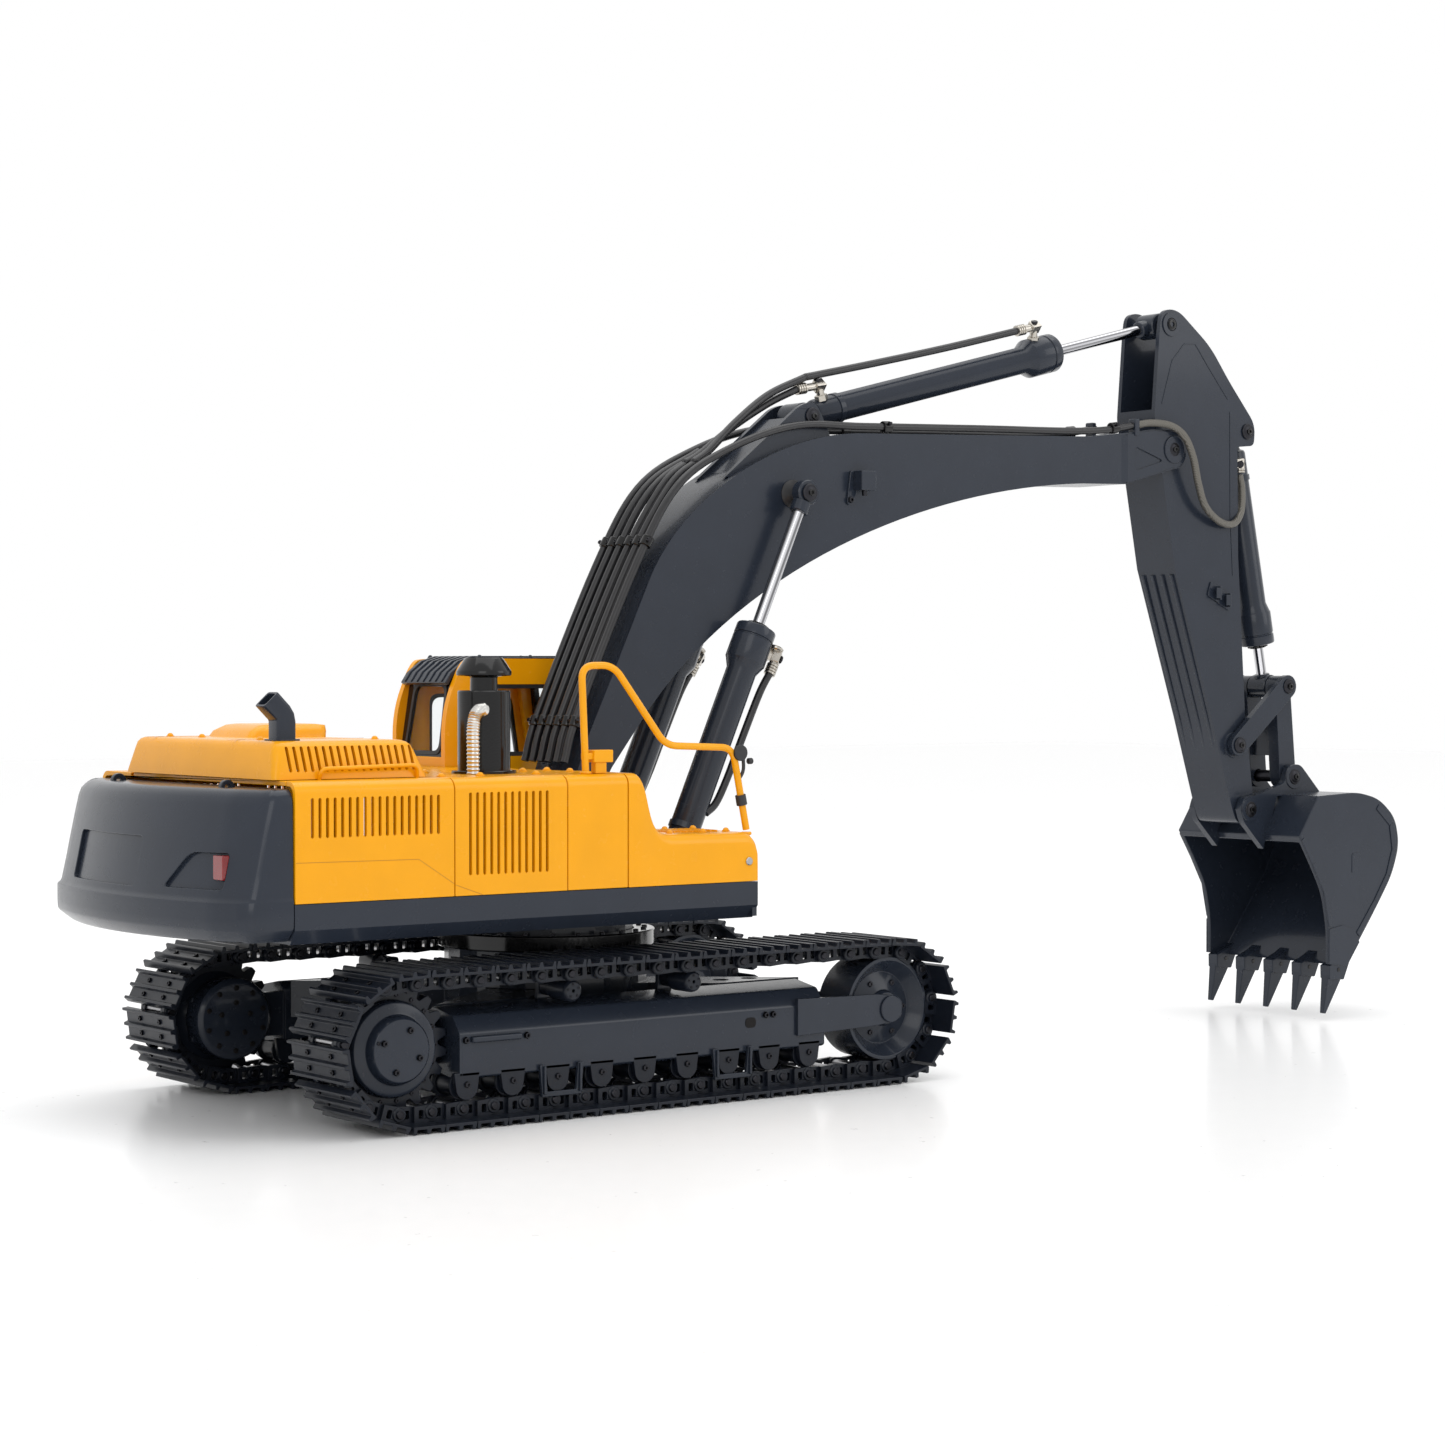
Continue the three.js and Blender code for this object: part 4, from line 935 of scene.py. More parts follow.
def add_deck():
    piece = part("upper_deck", "house")
    cab_side = CAB_REAR - 1
    outline = [(HOUSE_REAR, -DECK_HALF), (DOOR_SEAMS[1], -DECK_HALF), (DOOR_SEAMS[1], -50 + GAP),
               (BOX_STEP - GAP, -50 + GAP), (BOX_STEP - GAP, -28), (-22, -28), (-22, CAB_INNER - 1),
               (cab_side, CAB_INNER - 1), (cab_side, DECK_HALF), (HOUSE_REAR, DECK_HALF)]
    breather = rounded([(-200, -60, 4), (-150, -60, 4), (-150, 40, 4), (-200, 40, 4)], 3)
    plate = prism("z", outline, BODY_TOP - 2.6, BODY_TOP, [breather])
    feet = [block((-211, -207), (y, y + 6), (100, BODY_TOP - 1)) for y in (-94, 88)]
    hood_relief = block((-219.4, -131), (67.5, 70.5), (172.5, 176))
    piece("deck_plate", YELLOW, plate, *feet, cuts=[hood_relief], bevel=0.5)
    panel = mirrored(prism("x", side_section(), DOOR_SEAMS[0], cab_side))
    slots = mirrored(upright_slots(-116, -50, 16, 125.4, 167.0))
    strip = block((DOOR_SEAMS[0], cab_side), (DECK_HALF - 2, DECK_HALF + 1),
                  (BODY_TOP - 2.6, BODY_TOP - 0.4))
    piece("deck_side_panel", YELLOW, panel, cuts=[slots], bevel=0.22)
    piece("deck_side_strip", YELLOW, strip)
    places = [(-122, -88), (-100, -90), (-62, -84), (-66, -40), (-100, -36), (-44, -44), (-122, -40),
              (-26, -40), (-122, 40), (-100, 60), (-60, 40), (-26, -62)]
    piece("deck_bolts", YELLOW, *[dome_bolt(x, y, BODY_TOP) for x, y in places])
    # Painted shade: a near-black strip stands for the shade in the deck's seam.
    piece("deck_seam", SHADOW,
          block((-128.2, -127.8), (-DECK_HALF, DECK_HALF), (BODY_TOP - 1, BODY_TOP + 0.05)))


def tool_box_tops():
    """(x, height) along the tool box, from the deck down the curved step to its front."""
    curve = bezier((-13, BODY_TOP), (-4, BODY_TOP), (-9, BOX_TOP), (10, BOX_TOP), 16)
    return [(BOX_STEP + GAP, BODY_TOP), (-13, BODY_TOP), *curve, (59, BOX_TOP - 0.4), (62.5, BOX_TOP - 1.4),
            (64.8, BOX_TOP - 3.8), (HOUSE_FRONT - 0.1, BOX_TOP - 7.4), (HOUSE_FRONT, BOX_TOP - 12)]


def box_section(x, top):
    """Cross-section of the tool box with its rounded outer edge."""
    edge = [(x, y, z) for y, z in arc((-HOUSE_HALF + 6, top - 6), 6, 180, 90, 7)]
    low = SKIRT_TOP + GAP
    return [(x, -50, low), (x, -HOUSE_HALF, low), *edge, (x, -50, top)]


def add_tool_box():
    piece = part("tool_box", "house")
    rear = skinned([box_section(x, BODY_TOP) for x in (DOOR_SEAMS[1] + GAP, BOX_STEP - GAP)])
    front = skinned([box_section(x, top) for x, top in tool_box_tops()])
    piece("tool_box_rear", YELLOW, rear, bevel=0.4)
    piece("tool_box_front", YELLOW, front, bevel=0.4)
    places = [(16, -94), (16, -62), (36, -62), (55, -62), (55, -92), (38, -94)]
    piece("tool_box_bolts", YELLOW, *[dome_bolt(x, y, BOX_TOP - 0.2, 1.7) for x, y in places])
    ribs = [block((x, x + 1), (-90, -66), (BOX_TOP - 0.5, BOX_TOP + 0.5)) for x in range(22, 52, 4)]
    piece("tool_box_tread", YELLOW, *ribs, bevel=0.3)
    lock = disc((60, -106, 126), (0, -1, 0), 2.2, 0.9, 20)
    piece("tool_box_lock", STEEL, lock)


# ---------------------------------------------------------------- engine hood, stack and muffler
def rounded_plan(x0, x1, y0, y1, radius, z):
    corners = [(x0, y0, radius), (x1, y0, radius), (x1, y1, radius), (x0, y1, radius)]
    return [(x, y, z) for x, y in rounded(corners)]


def hood_body(wall=0.0, low=BODY_TOP + GAP):
    """Engine hood with leaning sides and a rounded upper edge; wall draws every face inwards."""
    top = 193.6 - wall
    steps = [(low, 0), (176.5, 0.3), (top - 5, 3.6), (top - 2.6, 4.4), (top - 1.0, 5.7), (top - 0.2, 7.4),
             (top, 9.4)]
    levels = []
    for z, inset in steps:
        rear, front = -219 + wall + inset * 0.75, -131.5 - wall - inset * 1.35
        right, left = -91 + wall + inset, 70 - wall - inset
        radius = max(3.5 - wall, 1.2) + inset * 0.3
        levels.append(rounded_plan(rear, front, right, left, radius, z))
    return skinned(levels)


def hood_slots(y, lean):
    shapes = []
    for i in range(18):
        x = -209.6 + 4.1 * i
        slot = arc((x, 190.2), 0.85, 0, 180, 5) + arc((x + 0.8, 179.2), 0.85, 180, 360, 5)
        shapes.append(prism("y", slot, min(y, y + lean), max(y, y + lean)))
    return joined(*shapes)


def add_hood():
    piece = part("engine_hood", "hood")
    cuts = [hood_body(2.4, BODY_TOP - 3), hood_slots(-94, 12), hood_slots(60, 12)]
    piece("hood_shell", YELLOW, hood_body(), cuts=cuts, bevel=0.25, sharp=30)
    raised = skinned([rounded_plan(-184, -136, 2, 50, 4, 191), rounded_plan(-180, -135, 3, 49, 4, 196.5),
                      rounded_plan(-174, -134, 6, 46, 4, 199.6),
                      rounded_plan(-170, -138, 9, 43, 4, 200.2)])
    piece("hood_ridge", YELLOW, raised, bevel=0.3)
    # Painted shade: darker yellow strips stand for the shade in the hood's panel seams.
    seams = [block((-219, -141), (y - 0.25, y + 0.25), (193.55, 193.68)) for y in (45.6, -43.6)]
    rear_seams = []
    for y in (45.6, -43.6):
        outline = [(-215.7, 187.6), (-214.9, 190.9), (-213.6, 192.9), (-212.2, 193.75), (-209, 193.75),
                   (-209, 192), (-213, 187)]
        rear_seams.append(prism("y", outline, y - 0.25, y + 0.25))
    piece("hood_seams", YELLOW_GROOVE_SHADE, *seams, *rear_seams)
    rail = bent_path([(-194, -91.5, 174.8), (-194, -93.6, 180), (-139, -93.0, 181), (-138, -91, 174.8)], 3.5)
    piece("hood_grab_bar", YELLOW, tube(rail, 1.05, 14))
    caps = [dome_bolt(x, y, 193.4, 1.7) for x, y in ((-200, 56), (-198, 24), (-150, -70), (-205, -52))]
    piece("hood_caps", YELLOW, *caps)


def add_stack():
    """Square exhaust outlet that bends back above the hood."""
    piece = part("exhaust_stack", "hood")
    half = 5.2

    def section(x, z, angle, size):
        lean = math.radians(angle)
        ahead = Vector((math.cos(lean), 0, math.sin(lean)))
        aside = Vector((0, 1, 0))
        corners = rounded([(-size, -size, 1.6), (size, -size, 1.6), (size, size, 1.6),
                           (-size, size, 1.6)], 3)
        return [Vector((x, -72.5, z)) + ahead * a + aside * b for a, b in corners]

    stations = [(-204, 193.4, 0), (-204, 203, 0), (-204.6, 205.6, 18), (-206, 207.6, 38),
                (-212.6, 214.2, 42)]
    outer = skinned([section(x, z, angle, half) for x, z, angle in stations])
    bore = skinned([section(x, z, angle, half - 1.3) for x, z, angle in
                    [(-205.6, 206.8, 38), (-215.2, 217, 42)]])
    piece("stack_pipe", SLATE, outer, cuts=[bore], bevel=0.35)
    # Painted shade: a near-black lining stands for the shade inside the pipe's bore.
    inside = [section(x, z, angle, half - 1.35) for x, z, angle in [(-205, 206, 38), (-207.8, 209.6, 41)]]
    piece("stack_inside", SHADOW, skinned(inside))
    flange = skinned([section(-204, z, 0, half + 1.6) for z in (193.5, 194.4)])
    piece("stack_flange", SLATE, flange, bevel=0.3)


def add_muffler():
    piece = part("muffler", "house")
    base = (-76, -56, BODY_TOP + GAP)
    profile = [(0, 13.4), (0.5, 13.8), (42.2, 13.8), (42.9, 13.3), (42.9, 12.2), (42.2, 11.8), (42.2, 8.0),
               (43, 7.2), (49.6, 7.1), (50.2, 7.8), (50.6, 13.9), (51.0, 14.4), (52.6, 14.5), (53.4, 14.1),
               (59.2, 10.4), (60, 9.6), (60.0, 8.8), (59.3, 8.3), (58.8, 4)]
    piece("muffler_can", BLACK, turned(profile, base, (0, 0, 1), 72))
    flange = turned([(-0.2, 17), (0.9, 17), (1.2, 16.6)], base, (0, 0, 1), 64)
    piece("muffler_flange", BLACK, flange)
    route = smooth_path([(-91, -69.5, BODY_TOP), (-91, -69.5, 186), (-91, -69.4, 197), (-89.6, -69, 204),
                         (-86.2, -67.8, 207.6), (-81, -65, 207.6), (-76, -61, 206)], 22)

    def ribbed(share):
        return 3.35 + 0.3 * math.sin(share * 2 * math.pi * 34)

    piece("intake_hose", NICKEL_BRIGHT, tube(route, ribbed, 18), sharp=80)


def add_handrail():
    piece = part("handrail", "house")
    y = -98
    corners = [(-40.5, y, 175), (-43, y, 230.6), (-23, y, 231), (10.5, y, 188.6), (55, y, 186.8),
               (64.2, y, 142.6)]
    piece("handrail_tube", YELLOW, tube(bent_path(corners, 7.5, 8), 1.9, 18))
    foot = [block((-37, -25), (-101, -94.5), (180.5, 187)),
            block((-35.5, -28.5), (-100, -95.5), (174.7, 180.7)),
            block((-42.6, -36), (-99.6, -96.4), (182, 185.5))]
    piece("handrail_foot", YELLOW, *foot, bevel=0.5)
    shoes = [disc((-40.5, y, BODY_TOP), (0, 0, 1), 3.2, 1.4, 24),
             disc((64.2, y, BOX_TOP - 2.4), (0, 0, 1), 2.9, 1.8, 24)]
    piece("handrail_flanges", YELLOW, *shoes)
    clamp = tube([(61.4, y, 155.8), (60.2, y, 161.4)], 2.9, 20)
    piece("handrail_clamp", PLASTIC, clamp, bevel=0.3)
    stalk = tube(bent_path([(58.6, y, 169), (61.5, y - 1.4, 174), (60, y - 2.5, 186)], 3), 0.95, 12)
    mirror = skinned([[(x, y - 3.4 + s, z) for x, z in circle(58.5, 184, r, 24)] for s, r in
                      ((0, 4.0), (0.4, 4.4), (1.6, 4.4), (2.2, 3.6))])
    knob = disc((64, y - 1.6, 179.5), (1, 0, 0), 1.7, 3.0, 16)
    piece("handrail_mirror", PLASTIC, stalk, mirror, knob, bevel=0.2)


# ---------------------------------------------------------------- cab
CAB_WALL = 4.0
CAB_SIDE = CAB_OUTER - 3.5
CAB_FLOOR = 104.0
REAR_WINDOW = [(CAB_INNER + 9, 181), (CAB_SIDE - 8, 181), (CAB_SIDE - 10, 222), (CAB_INNER + 11, 222)]


def cab_profile():
    return rounded([(CAB_REAR, CAB_FLOOR), (CAB_REAR, 206, 14), (CAB_REAR + 12, CAB_TOP - 1, 11),
                    (CAB_REAR + 20, CAB_TOP, 5), (55, CAB_TOP, 10), (63, 170, 6), (63, CAB_FLOOR)], 6)


def side_window(draw=0.0):
    """Side window; draw makes it smaller all round."""
    return rounded([(-27 + draw, 180 + draw, 5), (-27 + draw, 207, 9), (-16, 220.5 - draw, 6),
                    (46.5 - draw, 220.5 - draw, 7), (52.5 - draw, 180 + draw, 5)], 5)


def doorway():
    return rounded([(-18, 120, 4), (-18, 220, 5), (46, 220, 5), (54, 170, 3), (54, 120, 4)])


def door_window(draw=0.0):
    return rounded([(-13 + draw, 150 + draw, 5), (-13 + draw, 215 - draw, 6), (43 - draw, 215 - draw, 7),
                    (50 - draw, 170, 4), (50 - draw, 150 + draw, 5)], 5)


def seal(window, inner, low, high):
    """Rubber seal between a window's edge and its pane."""
    return prism("y", window, low, high, [inner])


def add_cab():
    piece = part("cab_frame", "house")
    outer = prism("y", cab_profile(), CAB_SIDE - CAB_WALL, CAB_SIDE, [doorway()])
    inner = prism("y", cab_profile(), CAB_INNER, CAB_INNER + CAB_WALL, [side_window()])
    piece("cab_side_walls", YELLOW, outer, inner, bevel=0.9, segments=3)
    rear_outline = [(CAB_INNER + 2, CAB_FLOOR), (CAB_SIDE - 2, CAB_FLOOR), (CAB_SIDE - 2, 180),
                    (CAB_INNER + 2, 180)]
    rear = prism("x", rear_outline, CAB_REAR + 0.6, CAB_REAR + CAB_WALL)
    floor = block((CAB_REAR + 1, 62), (CAB_INNER + 1, CAB_SIDE - 1), (CAB_FLOOR, CAB_FLOOR + 4))
    beam = block((48, 54.5), (CAB_INNER + 2, CAB_SIDE - 2), (221.5, 230))
    piece("cab_walls", YELLOW, rear, floor, beam, bevel=0.6)
    front = prism("y", [(63, CAB_FLOOR), (62.6, 170), (54.8, 231), (51.5, 231), (59, 170), (59, CAB_FLOOR)],
                  CAB_INNER + 3, CAB_SIDE - 3)
    opening = block((45, 70), (CAB_INNER + 9, CAB_SIDE - 8.5), (128, 219))
    piece("cab_front_frame", BLACK, front, cuts=[opening], bevel=0.4)
    add_cab_roof(piece)
    side_seal = seal(side_window(), side_window(2.4), CAB_INNER + 1.2, CAB_INNER + 2.8)
    rear_frame = rounded([(y, z, 6) for y, z in REAR_WINDOW], 5)
    rear_pane = rounded([(y + math.copysign(2.2, 72 - y), z + math.copysign(2.2, 200 - z), 5)
                         for y, z in REAR_WINDOW], 5)
    wide = [(CAB_INNER + 3, 179), (CAB_SIDE - 3, 179), (CAB_SIDE - 3, 226), (CAB_INNER + 3, 226)]
    lean = Matrix.Rotation(math.radians(9), 4, "Y")
    at_sill = (Matrix.Translation(Vector((CAB_REAR + 3.2, 0, 180))) @ lean
               @ Matrix.Translation(Vector((0, 0, -180))))
    rear_seal = transformed(prism("x", rear_frame, -1.2, 1.2, [rear_pane]), at_sill)
    surround = transformed(prism("x", wide, -0.6, 1.2, [rear_frame]), at_sill)
    piece("cab_seals", PLASTIC, side_seal, rear_seal, bevel=0.3)
    piece("cab_rear_surround", BLACK, surround, bevel=0.3)
    panes = [prism("y", side_window(2.2), CAB_INNER + 1.8, CAB_INNER + 2.4),
             transformed(prism("x", rear_pane, -0.3, 0.3), at_sill),
             prism("y", [(60.6, 170), (53.2, 228), (52.7, 228), (60.1, 170)], CAB_INNER + 4, CAB_SIDE - 4),
             prism("y", [(61, 127), (61, 170), (60.5, 170), (60.5, 127)], CAB_INNER + 4, CAB_SIDE - 4)]
    piece("cab_glass", GLASS, *panes)
    add_cab_inside(piece)
    add_cab_door()


def add_cab_roof(piece):
    outline = [(-35.2, 221.5), (-31.5, 227), (-24, 233), (-15, 235.6), (50, 235.8), (56, 233.4),
               (55.6, 231.4), (50, 233), (-15, 232.8), (-23, 230.4), (-29.6, 225.2), (-33, 220)]
    slab = prism("y", outline, CAB_INNER + CAB_WALL + 0.2, CAB_SIDE - CAB_WALL - 0.2)
    ribs = []
    for i in range(7):
        y = 53 + i * 6.5
        rib = [(-35.6, 222), (-32, 227.6), (-24.4, 233.8), (-15, 236.5), (50, 236.7), (51, 235), (-15, 235),
               (-30, 226)]
        ribs.append(prism("y", rib, y - 1.1, y + 1.1))
    piece("cab_roof", SLATE, slab, *ribs, bevel=0.5)
    bolts = [dome_bolt(x, y, 235.2, 1.4) for x in (-14, 20, 48) for y in (CAB_INNER + 2, CAB_SIDE - 2)]
    piece("cab_roof_bolts", SLATE, *bolts)
    lamps = [block((54, 60), (y - 5, y + 5), (226, 233)) for y in (58, 87)]
    piece("cab_lamps", BLACK, *lamps, bevel=1.2)
    glasses = [block((59.6, 60.4), (y - 4, y + 4), (227, 232)) for y in (58, 87)]
    piece("cab_lamp_glass", LAMP_CLEAR, *glasses, bevel=0.3)


def add_cab_inside(piece):
    floor = CAB_FLOOR + 4
    cushion = block((-12, 16), (58, 86), (floor + 16, floor + 24))
    base = block((-8, 12), (62, 82), (floor, floor + 16))
    tilt = Matrix.Rotation(math.radians(-12), 4, "Y")
    back = transformed(block((-4, 3), (59, 85), (0, 42)),
                       Matrix.Translation(Vector((-14, 0, floor + 20))) @ tilt)
    head = block((-26, -20), (64, 80), (floor + 60, floor + 72))
    piece("cab_seat", RUBBER, cushion, base, back, head, bevel=2.5, segments=4)
    consoles = [block((-6, 26), (y - 3.5, y + 3.5), (floor, floor + 32)) for y in (53, 91)]
    levers = [tube([(20, y, floor + 32), (22, y, floor + 46)], 1.1, 12) for y in (53, 91)]
    knobs = [turned([(0, 1.4), (2, 2.4), (6, 2.2), (7.4, 1.2)], (21.6, y, floor + 43), (0.1, 0, 1), 16)
             for y in (53, 91)]
    pedals = [block((44, 52), (y - 3, y + 3), (floor, floor + 10)) for y in (66, 78)]
    piece("cab_controls", PLASTIC, *consoles, *levers, *knobs, *pedals, bevel=0.6)


def add_cab_door():
    piece = part("cab_door", "door_of_cab")
    low = SKIRT_TOP + 1
    outline = rounded([(-20, low, 4), (-20, 222, 6), (47, 222, 7), (57, 170, 3), (57, low, 4)], 5)
    panel = prism("y", outline, CAB_SIDE + GAP, CAB_OUTER, [door_window()])
    piece("door_panel", YELLOW, panel, bevel=0.7)
    piece("door_seal", PLASTIC, seal(door_window(), door_window(2.2), CAB_SIDE + 1, CAB_OUTER - 0.6),
          bevel=0.3)
    piece("door_glass", GLASS, prism("y", door_window(2.0), CAB_SIDE + 1.6, CAB_SIDE + 2.3))
    rail = bent_path([(-14, CAB_OUTER - 0.4, 141), (-14, CAB_OUTER + 2.2, 143),
                      (-14, CAB_OUTER + 2.2, 170)], 1.5)
    handle = block((-16, -4), (CAB_OUTER - 0.5, CAB_OUTER + 1.6), (132, 136))
    piece("door_handle", PLASTIC, tube(rail, 0.9, 12), handle, bevel=0.5)
    hinges = [disc((55.4, CAB_OUTER - 1, z), (0, 0, 1), 1.8, 7, 20) for z in (122, 158)]
    piece("door_hinges", BOLT, *hinges)


# ---------------------------------------------------------------- equipment inside the body
def add_equipment():
    keep_node("battery_pack", WRAP, 1.5)
    keep_node("motor_pump", BLACK, 0.5)
    keep_node("oil_tank", SLATE, 1.5)
    keep_node("valve_block", NICKEL, 0.8)
    keep_node("revolving_frame", SLATE, 0.8)


def add_house():
    add_counterweight()
    add_doors()
    add_deck()
    add_tool_box()
    add_hood()
    add_stack()
    add_muffler()
    add_handrail()
    add_cab()
    add_equipment()


# ---------------------------------------------------------------- pins
PIN = 3.9
BORE = 4.3


def add_pin(node, body, place, half):
    """Pin across the machine, with a socket screw in each end."""
    x, z = place
    shaft = turned([(-half, PIN - 0.9), (-half + 0.5, PIN), (half - 0.5, PIN), (half, PIN - 0.9)],
                   (x, 0, z), (0, 1, 0), 36)
    washers = [disc((x, s * (half - 1.6), z), (0, s, 0), PIN + 1.2, 1.1, 32) for s in (1, -1)]
    piece = part(node, body)
    piece(f"{node}_shaft", BOLT, shaft, *washers)
    sockets = [bolt((x, s * (half - 0.1), z), (0, s, 0), 2.0, 1.2) for s in (1, -1)]
    piece(f"{node}_screws", BLACK, *sockets)


def add_pins():
    add_pin("boom_foot_pin", "house", BOOM_FOOT, 27)
    add_pin("boom_rod_pin", "boom_body", BOOM_EYE, 38.6)
    add_pin("arm_pivot_pin", "arm_body", ARM_PIVOT, 23.2)
    add_pin("arm_base_pin", "boom_body", ARM_BASE, 16.8)
    add_pin("bucket_pivot_pin", "bucket_pivot", BUCKET_PIVOT, 24.8)
    add_pin("link_base_pin", "link_base", LINK_BASE, 24.3)
    add_pin("bucket_link_pin", "bucket_body", LINK_BUCKET, 24.8)
    add_pin("bucket_base_pin", "bucket_base", BUCKET_BASE, 18.8)
    for name, side in SIDES.items():
        x, z = LINK_TOP
        shaft = turned([(8, PIN - 0.7), (8.4, PIN), (23.4, PIN), (23.9, PIN - 0.7)],
                       (x, 0, z), (0, side, 0), 36)
        cap = disc((x, side * 22.5, z), (0, side, 0), 4.9, 1.1, 32)
        piece = part(f"link_top_pin_{name}", "link_top")
        piece(f"link_top_pin_shaft_{name}", BOLT, shaft, cap)
        piece(f"link_top_pin_screw_{name}", BLACK, bolt((x, side * 23.8, z), (0, side, 0), 2.0, 1.2))


# ---------------------------------------------------------------- boom
def boom_profile():
    fx, fz = BOOM_FOOT
    ax, az = ARM_PIVOT
    back = bezier((56, 280), (78.5, 326), (148, 366.5), (212, 367.5), 24)
    belly = bezier((385, 344.5), (265, 338), (128, 292), (56, 208), 30)
    return [(13, 190), (30, 225), (56, 280), *back, (300, 370.6), (392, 374), (430, 378.6), (446, 381),
            *arc((ax, az), 12.5, 90, -90, 14), (423, 345.5), (385, 344.5), *belly, (30, 175),
            (fx + 9, fz - 2), *arc((fx, fz), 9.4, -10, -155, 10)]


def hole(place):
    return circle(place[0], place[1], BORE, 28)


def add_boom():
    piece = part("boom", "boom_body")
    shell = prism("y", boom_profile(), -BOOM_HALF, BOOM_HALF,
                  [hole(BOOM_FOOT), hole(ARM_PIVOT), hole(BOOM_EYE)])
    fork = block((424, 490), (-ARM_HALF - 0.5, ARM_HALF + 0.5), (330, 400))
    piece("boom_shell", SLATE, shell, cuts=[fork], bevel=0.9, segments=3)
    add_boom_tip(piece)
    x, z = ARM_BASE
    ears = rounded([(112, 338), (x - 9, z + 6, 4), (x + 2, z + 9.5, 6), (x + 9, z - 2, 5), (194, 356)], 6)
    plates = [prism("y", ears, *span, [hole(ARM_BASE)]) for span in ((11.6, 15), (-15, -11.6))]
    web = prism("y", [(116, 338), (x - 14.5, z - 1), (x - 11.5, z - 5), (122, 338)], -11.8, 11.8)
    piece("arm_cylinder_ears", SLATE, *plates, web, bevel=0.6)
    x, z = BOOM_EYE
    cones = [ring([(20.8, BORE), (20.8, 8.0), (21.6, 8.2), (24, 6.4), (28.8, 5.2), (28.8, BORE)], (x, 0, z),
                  (0, s, 0), 36) for s in (1, -1)]
    piece("boom_eye_spacers", PLASTIC, *cones)
    x, z = BOOM_FOOT
    collars = [ring([(20.9, 4.4), (20.9, 8.6), (21.5, 8.6), (21.5, 4.4)], (x, 0, z), (0, s, 0), 36)
               for s in (1, -1)]
    piece("boom_foot_collars", SLATE, *collars)
    add_work_light(piece)
    # Painted shade: a near-black disc under the boom stands for the shade inside a drain hole.
    drain = disc((250, 0, 332.5), (0, 0, -1), 4.8, 1, 24)
    piece("boom_drain", SHADOW, drain)


def add_boom_tip(piece):
    """Wider cast end of the boom: a sloped step, a pocket and the boss round the arm pivot."""
    x, z = ARM_PIVOT
    outline = [(424, 346.4), (463, 357.4), *arc((x, z), 11.6, -80, 84, 10), (446, 380), (424, 376.6)]
    pocket = rounded([(431, 354, 2.5), (456, 361.5, 3.5), (431, 369.5, 2.5)], 5)
    tips = [prism("y", outline, 20.6, 21.9, [hole(ARM_PIVOT), pocket])]
    step = prism("z", [(418.5, 20.8), (424, 20.0), (424, 21.9)], 346.6, 376.2)
    boss = ring([(21.6, BORE), (21.6, 8.8), (22.6, 8.8), (22.9, 8.4), (22.9, BORE)],
                (x, 0, z), (0, 1, 0), 40)
    for name, side in SIDES.items():
        piece(f"boom_tip_{name}", SLATE, *[on_side(s, side) for s in (*tips, boss)], bevel=0.3)
        piece(f"boom_tip_step_{name}", SLATE, on_side(step, side))


def add_work_light(piece):
    bracket = rounded([(196, 325, 2.5), (201, 325, 2.5), (206, 340, 1), (206, 345, 1), (199, 345, 1)], 3)
    plate = prism("y", bracket, -22.4, -20.9)
    box = block((201, 212), (-30, -22.2), (333.5, 345))
    piece("work_light", SLATE, plate, box, bevel=0.8, segments=3)
    piece("work_light_lens", LAMP_CLEAR, block((211.4, 212.8), (-29, -23.2), (335, 343.6)), bevel=0.4)
    piece("work_light_bolts", BOLT, bolt((198.6, -22.4, 328), (0, -1, 0), 1.9, 1.6),
          bolt((205.5, -27, 333.4), (0, 0, -1), 1.6, 3.0))


# ---------------------------------------------------------------- hoses along the boom
HOSE_RADIUS = 2.2
HOSE_PLACES = (-19.6, -12.0, -4.0, 4.0, 12.0, 19.6)
SHARED_RUN = ((-1, 178), (8, 205), (47, 287), (76, 332))
TIP_RUN = ((114, 355), (160, 369.5), (212, 371.5), (300, 374.5), (392, 377.5), (436, 383.4))
HOSE_CLAMPS = ((6.4, 200, 70), (54.4, 300, 58), (228, 372, 2), (414, 380.5, 7))


